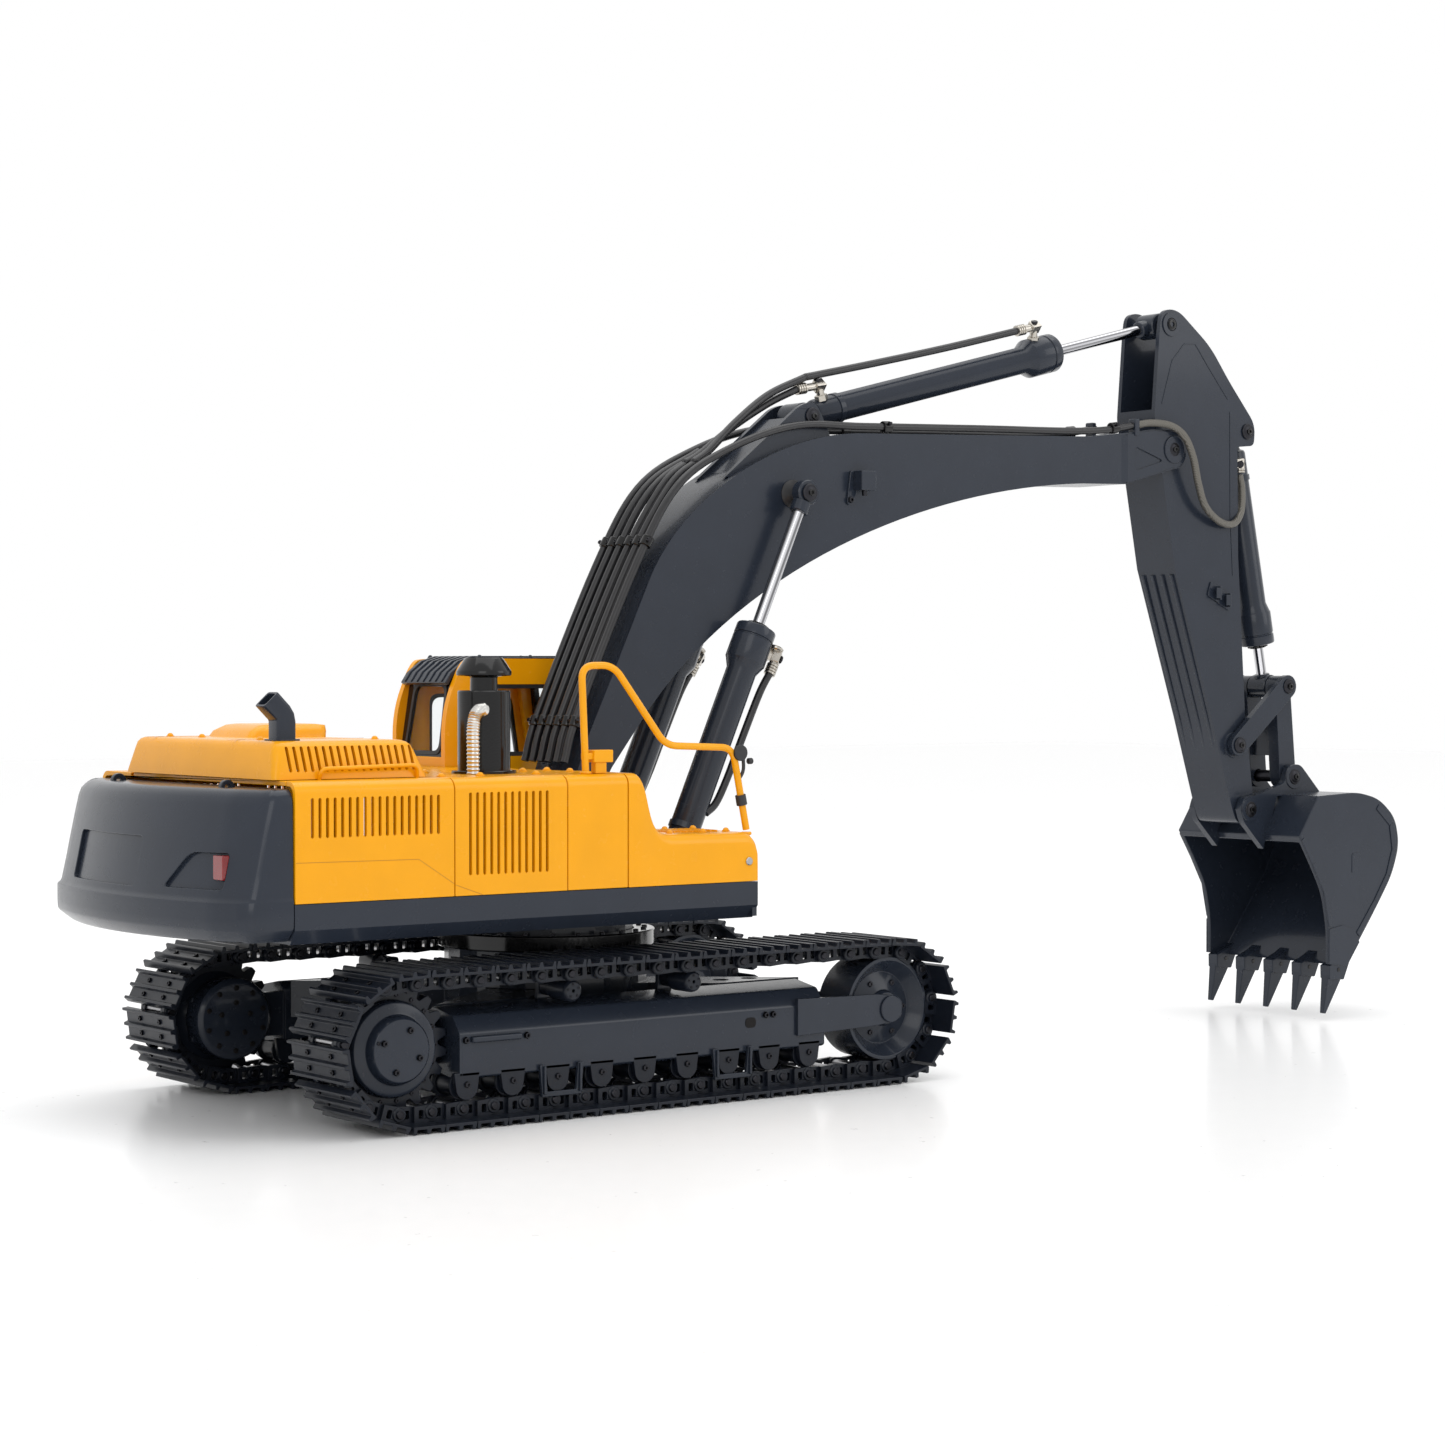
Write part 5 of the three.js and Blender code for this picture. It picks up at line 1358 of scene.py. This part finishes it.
def add_boom_hoses():
    piece = part("boom_hoses", "boom_body")
    tubes = []
    for y in HOSE_PLACES:
        if abs(y) > 15:
            run = [*SHARED_RUN, *TIP_RUN]
        elif y < 0:
            run = [*SHARED_RUN, (96, 347.5)]
        else:
            run = [*SHARED_RUN, (114, 354.5)]
        tubes.append(tube(smooth_path([(x, y, z) for x, z in run], 8), HOSE_RADIUS, 16))
    piece("boom_hose_runs", RUBBER, *tubes)
    lobes, bands, screws = [], [], []
    for i, (x, z, lean) in enumerate(HOSE_CLAMPS):
        heading = math.radians(lean)
        along = Vector((math.cos(heading), 0, math.sin(heading)))
        out = Vector((-math.sin(heading), 0, math.cos(heading)))
        places = HOSE_PLACES if i < 2 else (HOSE_PLACES[0], HOSE_PLACES[-1])
        for y in places:
            centre = Vector((x, y, z)) - along * 3
            lobes.append(turned([(0, 3.1), (0.4, 3.5), (5.6, 3.5), (6, 3.1)], centre, along, 22))
            screws.append(bolt(centre + along * 3 + Vector((0, math.copysign(4.0, y), 0)) + out * 1.2,
                               out, 1.3, 1.6))
        if i < 2:
            reach = HOSE_PLACES[-1]
            corners = [Vector((x, y, z)) + out * h for y, h in ((-reach, -1.4), (reach, -1.4), (reach, 1.2),
                                                                (-reach, 1.2))]
            bands.append(skinned([[c - along * 2.6 for c in corners], [c + along * 2.6 for c in corners]]))
    piece("hose_clamps", BLACK, *lobes, *bands, bevel=0.3)
    piece("hose_clamp_screws", BOLT, *screws)
    hooks = [block((430, 434), (s * 19.6 - 3.2, s * 19.6 + 3.2), (376, 387)) for s in (1, -1)]
    piece("tip_hose_hooks", SLATE, *hooks, bevel=0.8)


def bend(piece, first, second, start, end):
    """Bakes the mesh's placement into its points; it does not bend the mesh. first and second are not used;
    start and end, in machine millimetres, are turned into metres and dropped.
    """
    row(start)
    row(end)
    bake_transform(piece)


def row(point):
    return ((point[0] + SLEW_X) * MM, point[1] * MM, point[2] * MM)


def loose_tube(name, material, points, radius, sides=16):
    """A hose between two bodies, made as one fixed mesh that rides on neither."""
    path = smooth_path(points, 10)
    piece = mesh_object(name, tube(path, radius, sides))
    piece.data.shade_smooth()
    piece.data.materials.append(material)
    return piece


def add_arm_hoses():
    """Two hoses that leave the bundle for the arm cylinder, and the braided one round the arm pivot."""
    rises = {
        "arm_hose_base": [(92, -4, 346), (104, -4, 352.4), (126, -4, 368), (152, -4, 383), (174, -5, 393)],
        "arm_hose_gland": [(92, -12, 346), (104, -11, 353.2), (124, -9, 370), (150, -6.5, 387.6),
                           (178, -6, 399.6)],
    }
    for name, points in rises.items():
        piece = loose_tube(name, RUBBER, points, HOSE_RADIUS)
        bend(piece, "boom_body", "arm_barrel", points[1], points[-1])
    loop = [(434, -19.6, 383.2), (446, -21.4, 385), (460, -24.4, 383.6), (470.5, -26, 377),
            (478, -26.2, 364), (483.6, -25.2, 348), (492, -23.4, 333.6), (507, -21.6, 324.4),
            (522, -19.4, 323.6), (532, -16.4, 332), (535.4, -14, 346), (534.6, -12.6, 356)]
    braided = loose_tube("braided_hose", BRAID, loop, 2.35, 18)
    bend(braided, "boom_body", "arm_body", loop[1], loop[6])


# ---------------------------------------------------------------- arm
def arm_profile():
    px, pz = ARM_EYE
    kx, kz = BUCKET_PIVOT
    return rounded([(px - 10, pz - 4, 5), (px - 8, pz + 9, 8), (px + 6, pz + 10, 8), (503, 437, 10),
                    (520, 416, 8), (544.5, 389, 7), (543.4, 375, 4), (528, 374, 2), (529, 302),
                    (536, 197), (543.5, 146, 3), (kx + 8, kz - 9, 7), (kx - 6, kz - 10, 7),
                    (kx - 11, kz + 2, 4), (505, 197), (471, 294), (452.5, 390, 3)], 6)


def arm_channel():
    return rounded([(440, 400), (440, 470), (485, 470), (510, 418, 6), (521, 395, 4), (522, 352, 6),
                    (484, 352, 6), (483, 372, 8), (474, 388, 8), (458, 392)], 5)


def add_arm():
    piece = part("arm", "arm_body")
    holes = [hole(ARM_PIVOT), hole(BUCKET_PIVOT), hole(LINK_BASE), hole(BUCKET_BASE)]
    shell = prism("y", arm_profile(), -ARM_HALF, ARM_HALF, holes)
    channel = prism("y", arm_channel(), -ARM_HALF + 3, ARM_HALF - 3)
    slot = block((522, 562), (-8.6, 8.6), (364, 402))
    piece("arm_shell", SLATE, shell, cuts=[channel, slot], bevel=0.9, segments=3)
    x, z = ARM_EYE
    eyes = [ring([(ARM_HALF - 0.4, 3.6), (ARM_HALF - 0.4, 7.6), (ARM_HALF + 0.8, 7.6),
                  (ARM_HALF + 0.8, 3.6)], (x, 0, z), (0, s, 0), 36) for s in (1, -1)]
    stubs = [disc((x, s * 8.6, z), (0, s, 0), 4.9, 9.2, 30) for s in (1, -1)]
    piece("arm_eye_bosses", SLATE, *eyes, *stubs, bevel=0.2)
    caps = [bolt((x, s * (ARM_HALF - 0.2), z), (0, s, 0), 3.4, 1.7, 24) for s in (1, -1)]
    piece("arm_eye_screws", BLACK, *caps)
    add_arm_reliefs(piece)


def add_arm_reliefs(piece):
    """Ribs on the face towards the machine, the plates' raised edges and the two-slot bracket."""
    kx, kz = BUCKET_PIVOT
    face = [(472.3, 290), (505.8, 197), (kx - 11.6, kz + 12)]
    ribs = []
    for y in (-12.6, -4.2, 4.2, 12.6):
        sections = []
        for (x, z), (dx, dz) in zip(face, ((0.94, 0.34), (0.95, 0.32), (0.96, 0.28))):
            sections.append([(x + 2 * dx, y - 1.9, z + 2 * dz), (x - 1.5 * dx, y - 1.2, z - 1.5 * dz),
                             (x - 1.5 * dx, y + 1.2, z - 1.5 * dz), (x + 2 * dx, y + 1.9, z + 2 * dz)])
        ribs.append(skinned(sections))
    piece("arm_ribs", SLATE, *ribs, bevel=0.5)
    edge = [(459, 398), (468, 426), (479, 437.5), (489, 438), (500, 425), (519, 404)]
    edges = [both_sides(ridge(edge, 0.8, ARM_HALF - 0.1, ARM_HALF + 0.35)),
             both_sides(ridge([(521, 396), (521.5, 330), (524, 290)], 0.9, ARM_HALF - 0.1, ARM_HALF + 0.35))]
    piece("arm_plate_edges", SLATE, *edges, bevel=0.25)
    outline = [(500, 277), (520, 267), (523, 276), (503, 286)]
    corners = [(x, z, 1.2) for x, z in outline]
    plate = both_sides(prism("y", rounded(corners, 3), ARM_HALF, ARM_HALF + 1))
    hooks = []
    for x, z in ((508, 278.5), (517, 274)):
        hooks.append(both_sides(block((x, x + 1.4), (ARM_HALF + 0.5, ARM_HALF + 4.5), (z - 4.4, z + 4.4))))
        hooks.append(both_sides(block((x - 3.4, x + 1), (ARM_HALF + 3.4, ARM_HALF + 4.6),
                                      (z - 3.4, z + 3.4))))
    piece("arm_hose_bracket", SLATE, plate, *hooks, bevel=0.35)
    x, z = LINK_BASE
    bosses = [ring([(ARM_HALF - 0.2, BORE), (ARM_HALF - 0.2, 8.6), (ARM_HALF + 0.9, 8.2),
                    (ARM_HALF + 0.9, BORE)], (x, 0, z), (0, s, 0), 36) for s in (1, -1)]
    piece("arm_link_bosses", SLATE, *bosses)


# ---------------------------------------------------------------- bucket and its linkage
TEETH = 5


def bucket_outline():
    return rounded([(547, 121), (558, 104, 6), (570, 84, 9), (575, 60, 9), (575, 37), (592, 35),
                    (620, 70, 12), (637, 93, 9), (644, 113, 8), (640, 131, 8), (624, 144, 9),
                    (603, 148.6, 8), (565, 147)], 8)


def bucket_room():
    return rounded([(520, 117), (556, 117), (568.5, 142), (602, 143.6, 6), (621, 139.4, 8), (635, 127, 6),
                    (638.6, 113, 6), (632, 95, 9), (615.6, 73, 12), (589, 38.5), (588, 20), (520, 20)], 8)


def bucket_ear():
    kx, kz = BUCKET_PIVOT
    ux, uz = LINK_BUCKET
    return rounded([(kx - 9, kz), (kx - 6, kz + 8, 4), (kx + 6, kz + 9, 4), (ux - 9, uz - 4, 3),
                    (ux - 5, uz + 8, 5), (ux + 6, uz + 8, 4), (602, 147), (560, 146), (547, 112),
                    (kx - 6, kz - 8, 3)], 6)


def tooth_places():
    half = 4.2
    step = 2 * (BUCKET_HALF - half) / (TEETH - 1)
    return [-BUCKET_HALF + half + step * i for i in range(TEETH)]


def add_bucket():
    piece = part("bucket", "bucket_body")
    shell = prism("y", bucket_outline(), -BUCKET_HALF, BUCKET_HALF)
    room = prism("y", bucket_room(), -BUCKET_HALF + 3, BUCKET_HALF - 3)
    piece("bucket_shell", SLATE, shell, cuts=[room], bevel=0.8, segments=3)
    ear = prism("y", bucket_ear(), 18.4, 23, [hole(BUCKET_PIVOT), hole(LINK_BUCKET)])
    piece("bucket_ears", SLATE, both_sides(ear), bevel=0.7, segments=3)
    bosses = [ring([(22.9, BORE), (22.9, 8.2), (23.7, 7.8), (23.7, BORE)], (x, 0, z), (0, s, 0), 40)
              for x, z in (BUCKET_PIVOT, LINK_BUCKET) for s in (1, -1)]
    piece("bucket_ear_bosses", SLATE, *bosses)
    add_bucket_teeth(piece)
    add_bucket_reliefs(piece)


def taper(tip, y, root, point):
    """A tooth whose half width falls from root to point at its lower end."""
    low, high = min(z for _, z in tip), max(z for _, z in tip)
    half = [point + (root - point) * (z - low) / (high - low) for _, z in tip]
    return skinned([[(x, y + s * h, z) for (x, z), h in zip(tip, half)] for s in (-1, 1)])


def add_bucket_teeth(piece):
    tip = [(573, 5), (575.5, 4.6), (593.4, 35), (588, 38.4), (576.6, 33.4)]
    socket = [(576.2, 27.4), (590, 26.2), (596, 38.8), (592.5, 43.2), (587, 40.2), (576, 36)]
    tips = [taper(tip, y, 3.7, 1.6) for y in tooth_places()]
    sockets = [prism("y", socket, y - 4.2, y + 4.2) for y in tooth_places()]
    pins = [disc((584.6, y + s * 4.1, 33), (0, s, 0), 1.4, 0.5, 16, 0.2) for y in tooth_places()
            for s in (1, -1)]
    piece("bucket_teeth", SLATE, *tips, bevel=0.5)
    piece("bucket_tooth_sockets", SLATE, *sockets, bevel=0.6)
    piece("bucket_tooth_pins", BLACK, *pins)


def add_bucket_reliefs(piece):
    """Side cutters, the strip along the side plate's rear edge and the ribs of the top band."""
    wall = BUCKET_HALF
    cutter = rounded([(575, 60), (575, 37), (592, 35), (604, 50), (600, 58, 2), (588, 62, 2)], 4)
    strip = [(603, 55), (620.5, 76), (632.5, 93), (638.4, 110), (635.6, 127), (622, 138.6)]
    lip = [(550, 119.5), (560.4, 103.5), (571.4, 84.5), (576.4, 62)]
    mark = [(598, 96), (598, 108), (606, 108)]
    sides = [prism("y", cutter, wall - 0.2, wall + 0.9), ridge(strip, 4.2, wall - 0.2, wall + 0.7),
             ridge(lip, 3.0, wall - 0.2, wall + 0.7), ridge(mark, 2.0, wall - 0.2, wall + 0.4)]
    piece("bucket_side_reliefs", SLATE, *[both_sides(shape) for shape in sides], bevel=0.35)
    ribs = [tube([(x, -wall + 6, z), (x, wall - 6, z)], 1.4, 14)
            for x, z in ((640.6, 100), (643, 113.6), (640.2, 127))]
    piece("bucket_back_ribs", SLATE, *ribs)


def add_linkage():
    link = [prism("y", bar(LINK_TOP, LINK_BUCKET, 7, 7.6), low, high, [hole(LINK_TOP), hole(LINK_BUCKET)])
            for low, high in ((8.4, 17.6), (-17.6, -8.4))]
    x, z = (LINK_TOP[0] + LINK_BUCKET[0]) / 2, (LINK_TOP[1] + LINK_BUCKET[1]) / 2
    web = block((x - 3, x + 4), (-9, 9), (z - 16, z + 8))
    piece = part("bucket_link", "bucket_link_body")
    piece("bucket_link_casting", SLATE, *link, web, bevel=0.7, segments=3)
    for name, side in SIDES.items():
        piece = part(f"side_link_{name}", "side_links")
        plate = prism("y", bar(LINK_BASE, LINK_TOP, 7, 7.4), 18.4, 22.6, [hole(LINK_BASE), hole(LINK_TOP)])
        piece(f"side_link_plate_{name}", SLATE, on_side(plate, side), bevel=0.7, segments=3)


# ---------------------------------------------------------------- hydraulic cylinders
class Cylinder:
    """A cylinder in the x-z plane: at(t, h) is t along it from its base eye and h to its upper side."""

    def __init__(self, start, end, y=0.0, **sizes):
        self.base = Vector((start[0], y, start[1]))
        self.axis = (Vector((end[0], y, end[1])) - self.base).normalized()
        self.length = (Vector((end[0], y, end[1])) - self.base).length
        self.up = Vector((-self.axis.z, 0, self.axis.x))
        self.sizes = sizes

    def at(self, along, height=0.0, aside=0.0):
        return self.base + self.axis * along + self.up * height + Vector((0, aside, 0))

    def barrel_shapes(self):
        s = self.sizes
        tube_end, end = s["gland_end"] - 26, s["gland_end"]
        bore, mouth = s["barrel"] - 1.6, s["rod"] + 0.35
        profile = [(s["tube_start"] - 1, s["barrel"] * 0.6), (s["tube_start"] + 0.5, s["barrel"] * 0.93),
                   (s["tube_start"] + 2, s["barrel"]), (tube_end - 1, s["barrel"]),
                   (tube_end + 4.4, s["gland"] - 0.5), (tube_end + 5.2, s["gland"]), (end - 7.4, s["gland"]),
                   (end - 7.0, s["gland"] - 0.6), (end - 6.4, s["gland"] - 0.6), (end - 6.0, s["gland"]),
                   (end - 1.0, s["gland"]), (end - 0.3, s["gland"] - 0.4), (end, s["gland"] - 1.1),
                   (end, mouth), (end - 16, mouth), (end - 16, bore), (s["tube_start"] + 4, bore)]
        collar = ring([(s["tube_start"] + 16, s["barrel"] - 0.1),
                       (s["tube_start"] + 16.3, s["barrel"] + 0.8),
                       (s["tube_start"] + 19.7, s["barrel"] + 0.8),
                       (s["tube_start"] + 20, s["barrel"] - 0.1)], self.base, self.axis, 48)
        neck = turned([(s["eye"] * 0.82, s["eye"] * 0.62), (s["tube_start"] + 0.4, s["barrel"] * 0.72)],
                      self.base, self.axis, 36)
        eye = self.eye(0, s["eye"], s["eye_half"], s["eye_bore"])
        return [turned(profile, self.base, self.axis, 48), collar, neck, eye]

    def eye(self, along, radius, half, bore):
        section = [(-half, bore), (-half, radius - 0.6), (-half + 0.6, radius), (half - 0.6, radius),
                   (half, radius - 0.6), (half, bore)]
        return ring(section, self.at(along), (0, 1, 0), 44)

    def wiper(self):
        """Ring with notches that the rod leaves through."""
        s = self.sizes
        start, outer = s["gland_end"] - 0.2, s["rod"] + 2.6
        collar = ring([(start, s["rod"] + 0.35), (start, outer), (start + 2.4, outer - 0.4),
                       (start + 2.4, s["rod"] + 0.35)], self.base, self.axis, 40)
        teeth = []
        for i in range(12):
            turn = Matrix.Rotation(math.pi * i / 6, 4, self.axis)
            out = turn @ self.up
            teeth.append(disc(self.at(start) + out * (outer + 0.1), self.axis, 0.75, 2.0, 8, 0.2))
        return [collar, *teeth]

    def rod_shaft(self):
        s = self.sizes
        return turned([(s["rod_start"], s["rod"]), (self.length - s["rod_eye"] * 0.9, s["rod"])],
                      self.base, self.axis, 40)

    def rod_end(self):
        s = self.sizes
        start = self.length - s["rod_eye"] - s["rod_neck"]
        neck = turned([(start, s["rod"] + 1.4), (start + 0.6, s["rod"] + 2),
                       (self.length - s["rod_eye"] * 0.8, s["rod"] + 2)], self.base, self.axis, 36)
        return [neck, self.eye(self.length, s["rod_eye"], s["rod_eye_half"], s["rod_eye_bore"])]


BOOM_CYLINDERS = {name: Cylinder(BOOM_BASE, BOOM_EYE, side * BOOM_CYLINDER_PLACE, barrel=8.7, gland=11.6,
                                 rod=3.5, gland_end=154, tube_start=13.5, eye=7.8, eye_half=2.6,
                                 eye_bore=6.2, rod_start=66, rod_neck=5, rod_eye=7.4, rod_eye_half=3.5,
                                 rod_eye_bore=4.3) for name, side in SIDES.items()}
ARM_CYLINDER = Cylinder(ARM_BASE, ARM_EYE, barrel=8.3, gland=12, rod=3.3, gland_end=209, tube_start=12,
                        eye=8.6, eye_half=8, eye_bore=4.4, rod_start=134, rod_neck=5, rod_eye=8,
                        rod_eye_half=8, rod_eye_bore=4.4)
BUCKET_CYLINDER = Cylinder(BUCKET_BASE, LINK_TOP, barrel=9.2, gland=11.4, rod=3.3, gland_end=141,
                           tube_start=12, eye=8.2, eye_half=7.8, eye_bore=4.4, rod_start=74, rod_neck=0.7,
                           rod_eye=7.6, rod_eye_half=7.6, rod_eye_bore=4.4)


def add_cylinder(label, cylinder, barrel, rod):
    """Barrel and rod of one cylinder, each made by the piece maker of its own CAD node."""
    barrel(f"{label}_barrel", SLATE, *cylinder.barrel_shapes())
    barrel(f"{label}_wiper", BLACK, *cylinder.wiper())
    rod(f"{label}_rod", CHROME_WITH_PAINTED_REFLECTION, cylinder.rod_shaft())
    rod(f"{label}_rod_eye", SLATE, *cylinder.rod_end())


def fitting_run(piece, label, points):
    """Nickel elbow: a nut at its foot, a square head with a dark screw and a ribbed ferrule at its mouth."""
    radius = HOSE_RADIUS
    path = bent_path(points, 3.0)
    last = (path[-1] - path[-2]).normalized()
    first = (path[1] - path[0]).normalized()
    ferrule = [(-6.6, radius + 0.8)]
    for rib in range(4):
        start = -6.2 + 1.7 * rib
        ferrule += [(start, radius + 1.2), (start + 1.0, radius + 1.2), (start + 1.2, radius + 0.7)]
    nut = turned([(-0.4, radius + 1.7), (2.6, radius + 1.7), (3.0, radius + 1.3)], path[0], first, 6)
    corner = Vector(points[1])
    head = turned([(-3.4, 3.8), (-3.0, 4.2), (3.0, 4.2), (3.4, 3.8)], corner, last, 4)
    screw = disc(corner + first * 2.6, first, 2.3, 1.3, 24, 0.3)
    mouth = turned(ferrule, path[-1], last, 24)
    piece(f"{label}_elbow", NICKEL, tube(path, radius + 0.2, 18), nut, mouth, head)
    piece(f"{label}_screw", BOLT, screw)


def add_boom_cylinder_hose(piece, name, side, cylinder):
    """Nickel elbow with a round knob on the gland and the hose back to the barrel's base."""
    y = side * 5.0
    gland = cylinder.sizes["gland_end"] - 11
    fitting_run(piece, f"boom_cylinder_fitting_{name}",
                [cylinder.at(gland, -10.6, y * 0.4), cylinder.at(gland, -16.4, y * 0.8),
                 cylinder.at(gland - 11, -15.4, y)])
    points = [cylinder.at(gland - 10, -15.4, y), cylinder.at(gland - 24, -13.4, y),
              cylinder.at(gland - 52, -12.6, y), cylinder.at(gland - 76, -12.2, y),
              cylinder.at(gland - 92, -10.6, y), cylinder.at(gland - 100, -6.4, y)]
    piece(f"boom_cylinder_hose_{name}", RUBBER, tube(smooth_path(points, 8), HOSE_RADIUS, 16))
    knob = disc(cylinder.at(gland + 3.4, -14.6, y * 0.8), cylinder.axis, 4.4, 2.4, 28, 0.7)
    piece(f"boom_cylinder_knob_{name}", NICKEL, knob)


def add_arm_cylinder_hoses(piece):
    cylinder = ARM_CYLINDER
    gland = cylinder.sizes["gland_end"] - 16
    fitting_run(piece, "arm_cylinder_gland_fitting",
                [cylinder.at(gland, 10, -3), cylinder.at(gland, 18.6, -6),
                 cylinder.at(gland - 15, 18.8, -6)])
    straight = [Vector((178, -6, 399.6)), cylinder.at(60, 20.6, -6), cylinder.at(120, 19.2, -6),
                cylinder.at(gland - 12, 18.8, -6)]
    piece("arm_cylinder_hose", RUBBER, tube(smooth_path(straight, 8), HOSE_RADIUS, 16))
    fitting_run(piece, "arm_cylinder_base_fitting",
                [cylinder.at(18, 7.2, -4), cylinder.at(17, 15.6, -5), Vector((172, -5, 392.2))])


def add_bucket_cylinder_fitting(piece):
    cylinder = BUCKET_CYLINDER
    points = [cylinder.at(20, -2, -7), cylinder.at(20, -6.4, -12.6), Vector((534.8, -12.6, 357.4))]
    fitting_run(piece, "bucket_cylinder_fitting", points)
    screw = bolt(cylinder.at(20, -6.4, -14.4), (0, -1, 0), 2.6, 1.6, 20)
    piece("bucket_cylinder_fitting_screw", BLACK, screw)


def add_cylinders():
    for name, side in SIDES.items():
        barrel = part(f"boom_cylinder_barrel_{name}", "boom_barrels")
        rod = part(f"boom_cylinder_rod_{name}", "boom_rods")
        add_cylinder(f"boom_cylinder_{name}", BOOM_CYLINDERS[name], barrel, rod)
        add_boom_cylinder_hose(barrel, name, side, BOOM_CYLINDERS[name])
    barrel = part("arm_cylinder_barrel", "arm_barrel")
    add_cylinder("arm_cylinder", ARM_CYLINDER, barrel, part("arm_cylinder_rod", "arm_rod"))
    add_arm_cylinder_hoses(barrel)
    barrel = part("bucket_cylinder_barrel", "bucket_barrel")
    add_cylinder("bucket_cylinder", BUCKET_CYLINDER, barrel, part("bucket_cylinder_rod", "bucket_rod"))
    add_bucket_cylinder_fitting(barrel)
    keep_node("arm_cylinder_piston", STEEL, 0)
    keep_node("bucket_cylinder_piston", STEEL, 0)


# ---------------------------------------------------------------- floor, light and camera
CAMERA_PLACE = (-1.1252, -1.4048, 0.2272)
CAMERA_YAW = math.radians(36.95)
CAMERA_PITCH = math.radians(0.94)
CAMERA_LENS = 76.1


def add_floor():
    floor = mesh_object("studio_floor", block((-6000, 6000), (-6000, 6000), (-20, -0.2)))
    material = paint("white_floor", (0.97, 0.97, 0.97), 0.3, 0.12, 0.005, 0.02)
    floor.data.materials.append(material)


def add_light(name, place, target, size, power):
    lamp = bpy.data.lights.new(name, "AREA")
    lamp.shape = "SQUARE"
    lamp.size = size
    lamp.energy = power
    lit = bpy.data.objects.new(name, lamp)
    lit.location = place
    lit.rotation_euler = (Vector(target) - Vector(place)).to_track_quat("-Z", "Y").to_euler()
    bpy.context.scene.collection.objects.link(lit)


def add_lights():
    add_light("overhead_softbox", (0.1, 0.1, 2.2), (0, 0, 0.15), 2.2, 20)
    add_light("front_softbox", (-1.6, -1.7, 1.1), (0, 0, 0.15), 1.2, 7)
    add_light("side_softbox", (1.5, -1.8, 1.2), (0, 0, 0.15), 1.2, 7)
    world = bpy.data.worlds.new("studio")
    world.use_nodes = True
    world.node_tree.nodes["Background"].inputs["Color"].default_value = (1, 1, 1, 1)
    world.node_tree.nodes["Background"].inputs["Strength"].default_value = 1.0
    bpy.context.scene.world = world


def add_camera():
    lens = bpy.data.cameras.new("photo_camera")
    lens.lens = CAMERA_LENS
    lens.sensor_width = 36
    camera = bpy.data.objects.new("photo_camera", lens)
    flat = math.cos(CAMERA_PITCH)
    ahead = Vector((math.sin(CAMERA_YAW) * flat, math.cos(CAMERA_YAW) * flat, -math.sin(CAMERA_PITCH)))
    camera.location = CAMERA_PLACE
    camera.rotation_euler = ahead.to_track_quat("-Z", "Y").to_euler()
    bpy.context.scene.collection.objects.link(camera)
    bpy.context.scene.camera = camera
    bpy.context.scene.view_settings.view_transform = "Standard"


def build():
    add_undercarriage()
    add_house()
    add_pins()
    add_boom()
    add_boom_hoses()
    add_arm_hoses()
    add_arm()
    add_bucket()
    add_linkage()
    add_cylinders()
    add_floor()
    add_lights()
    add_camera()


build()
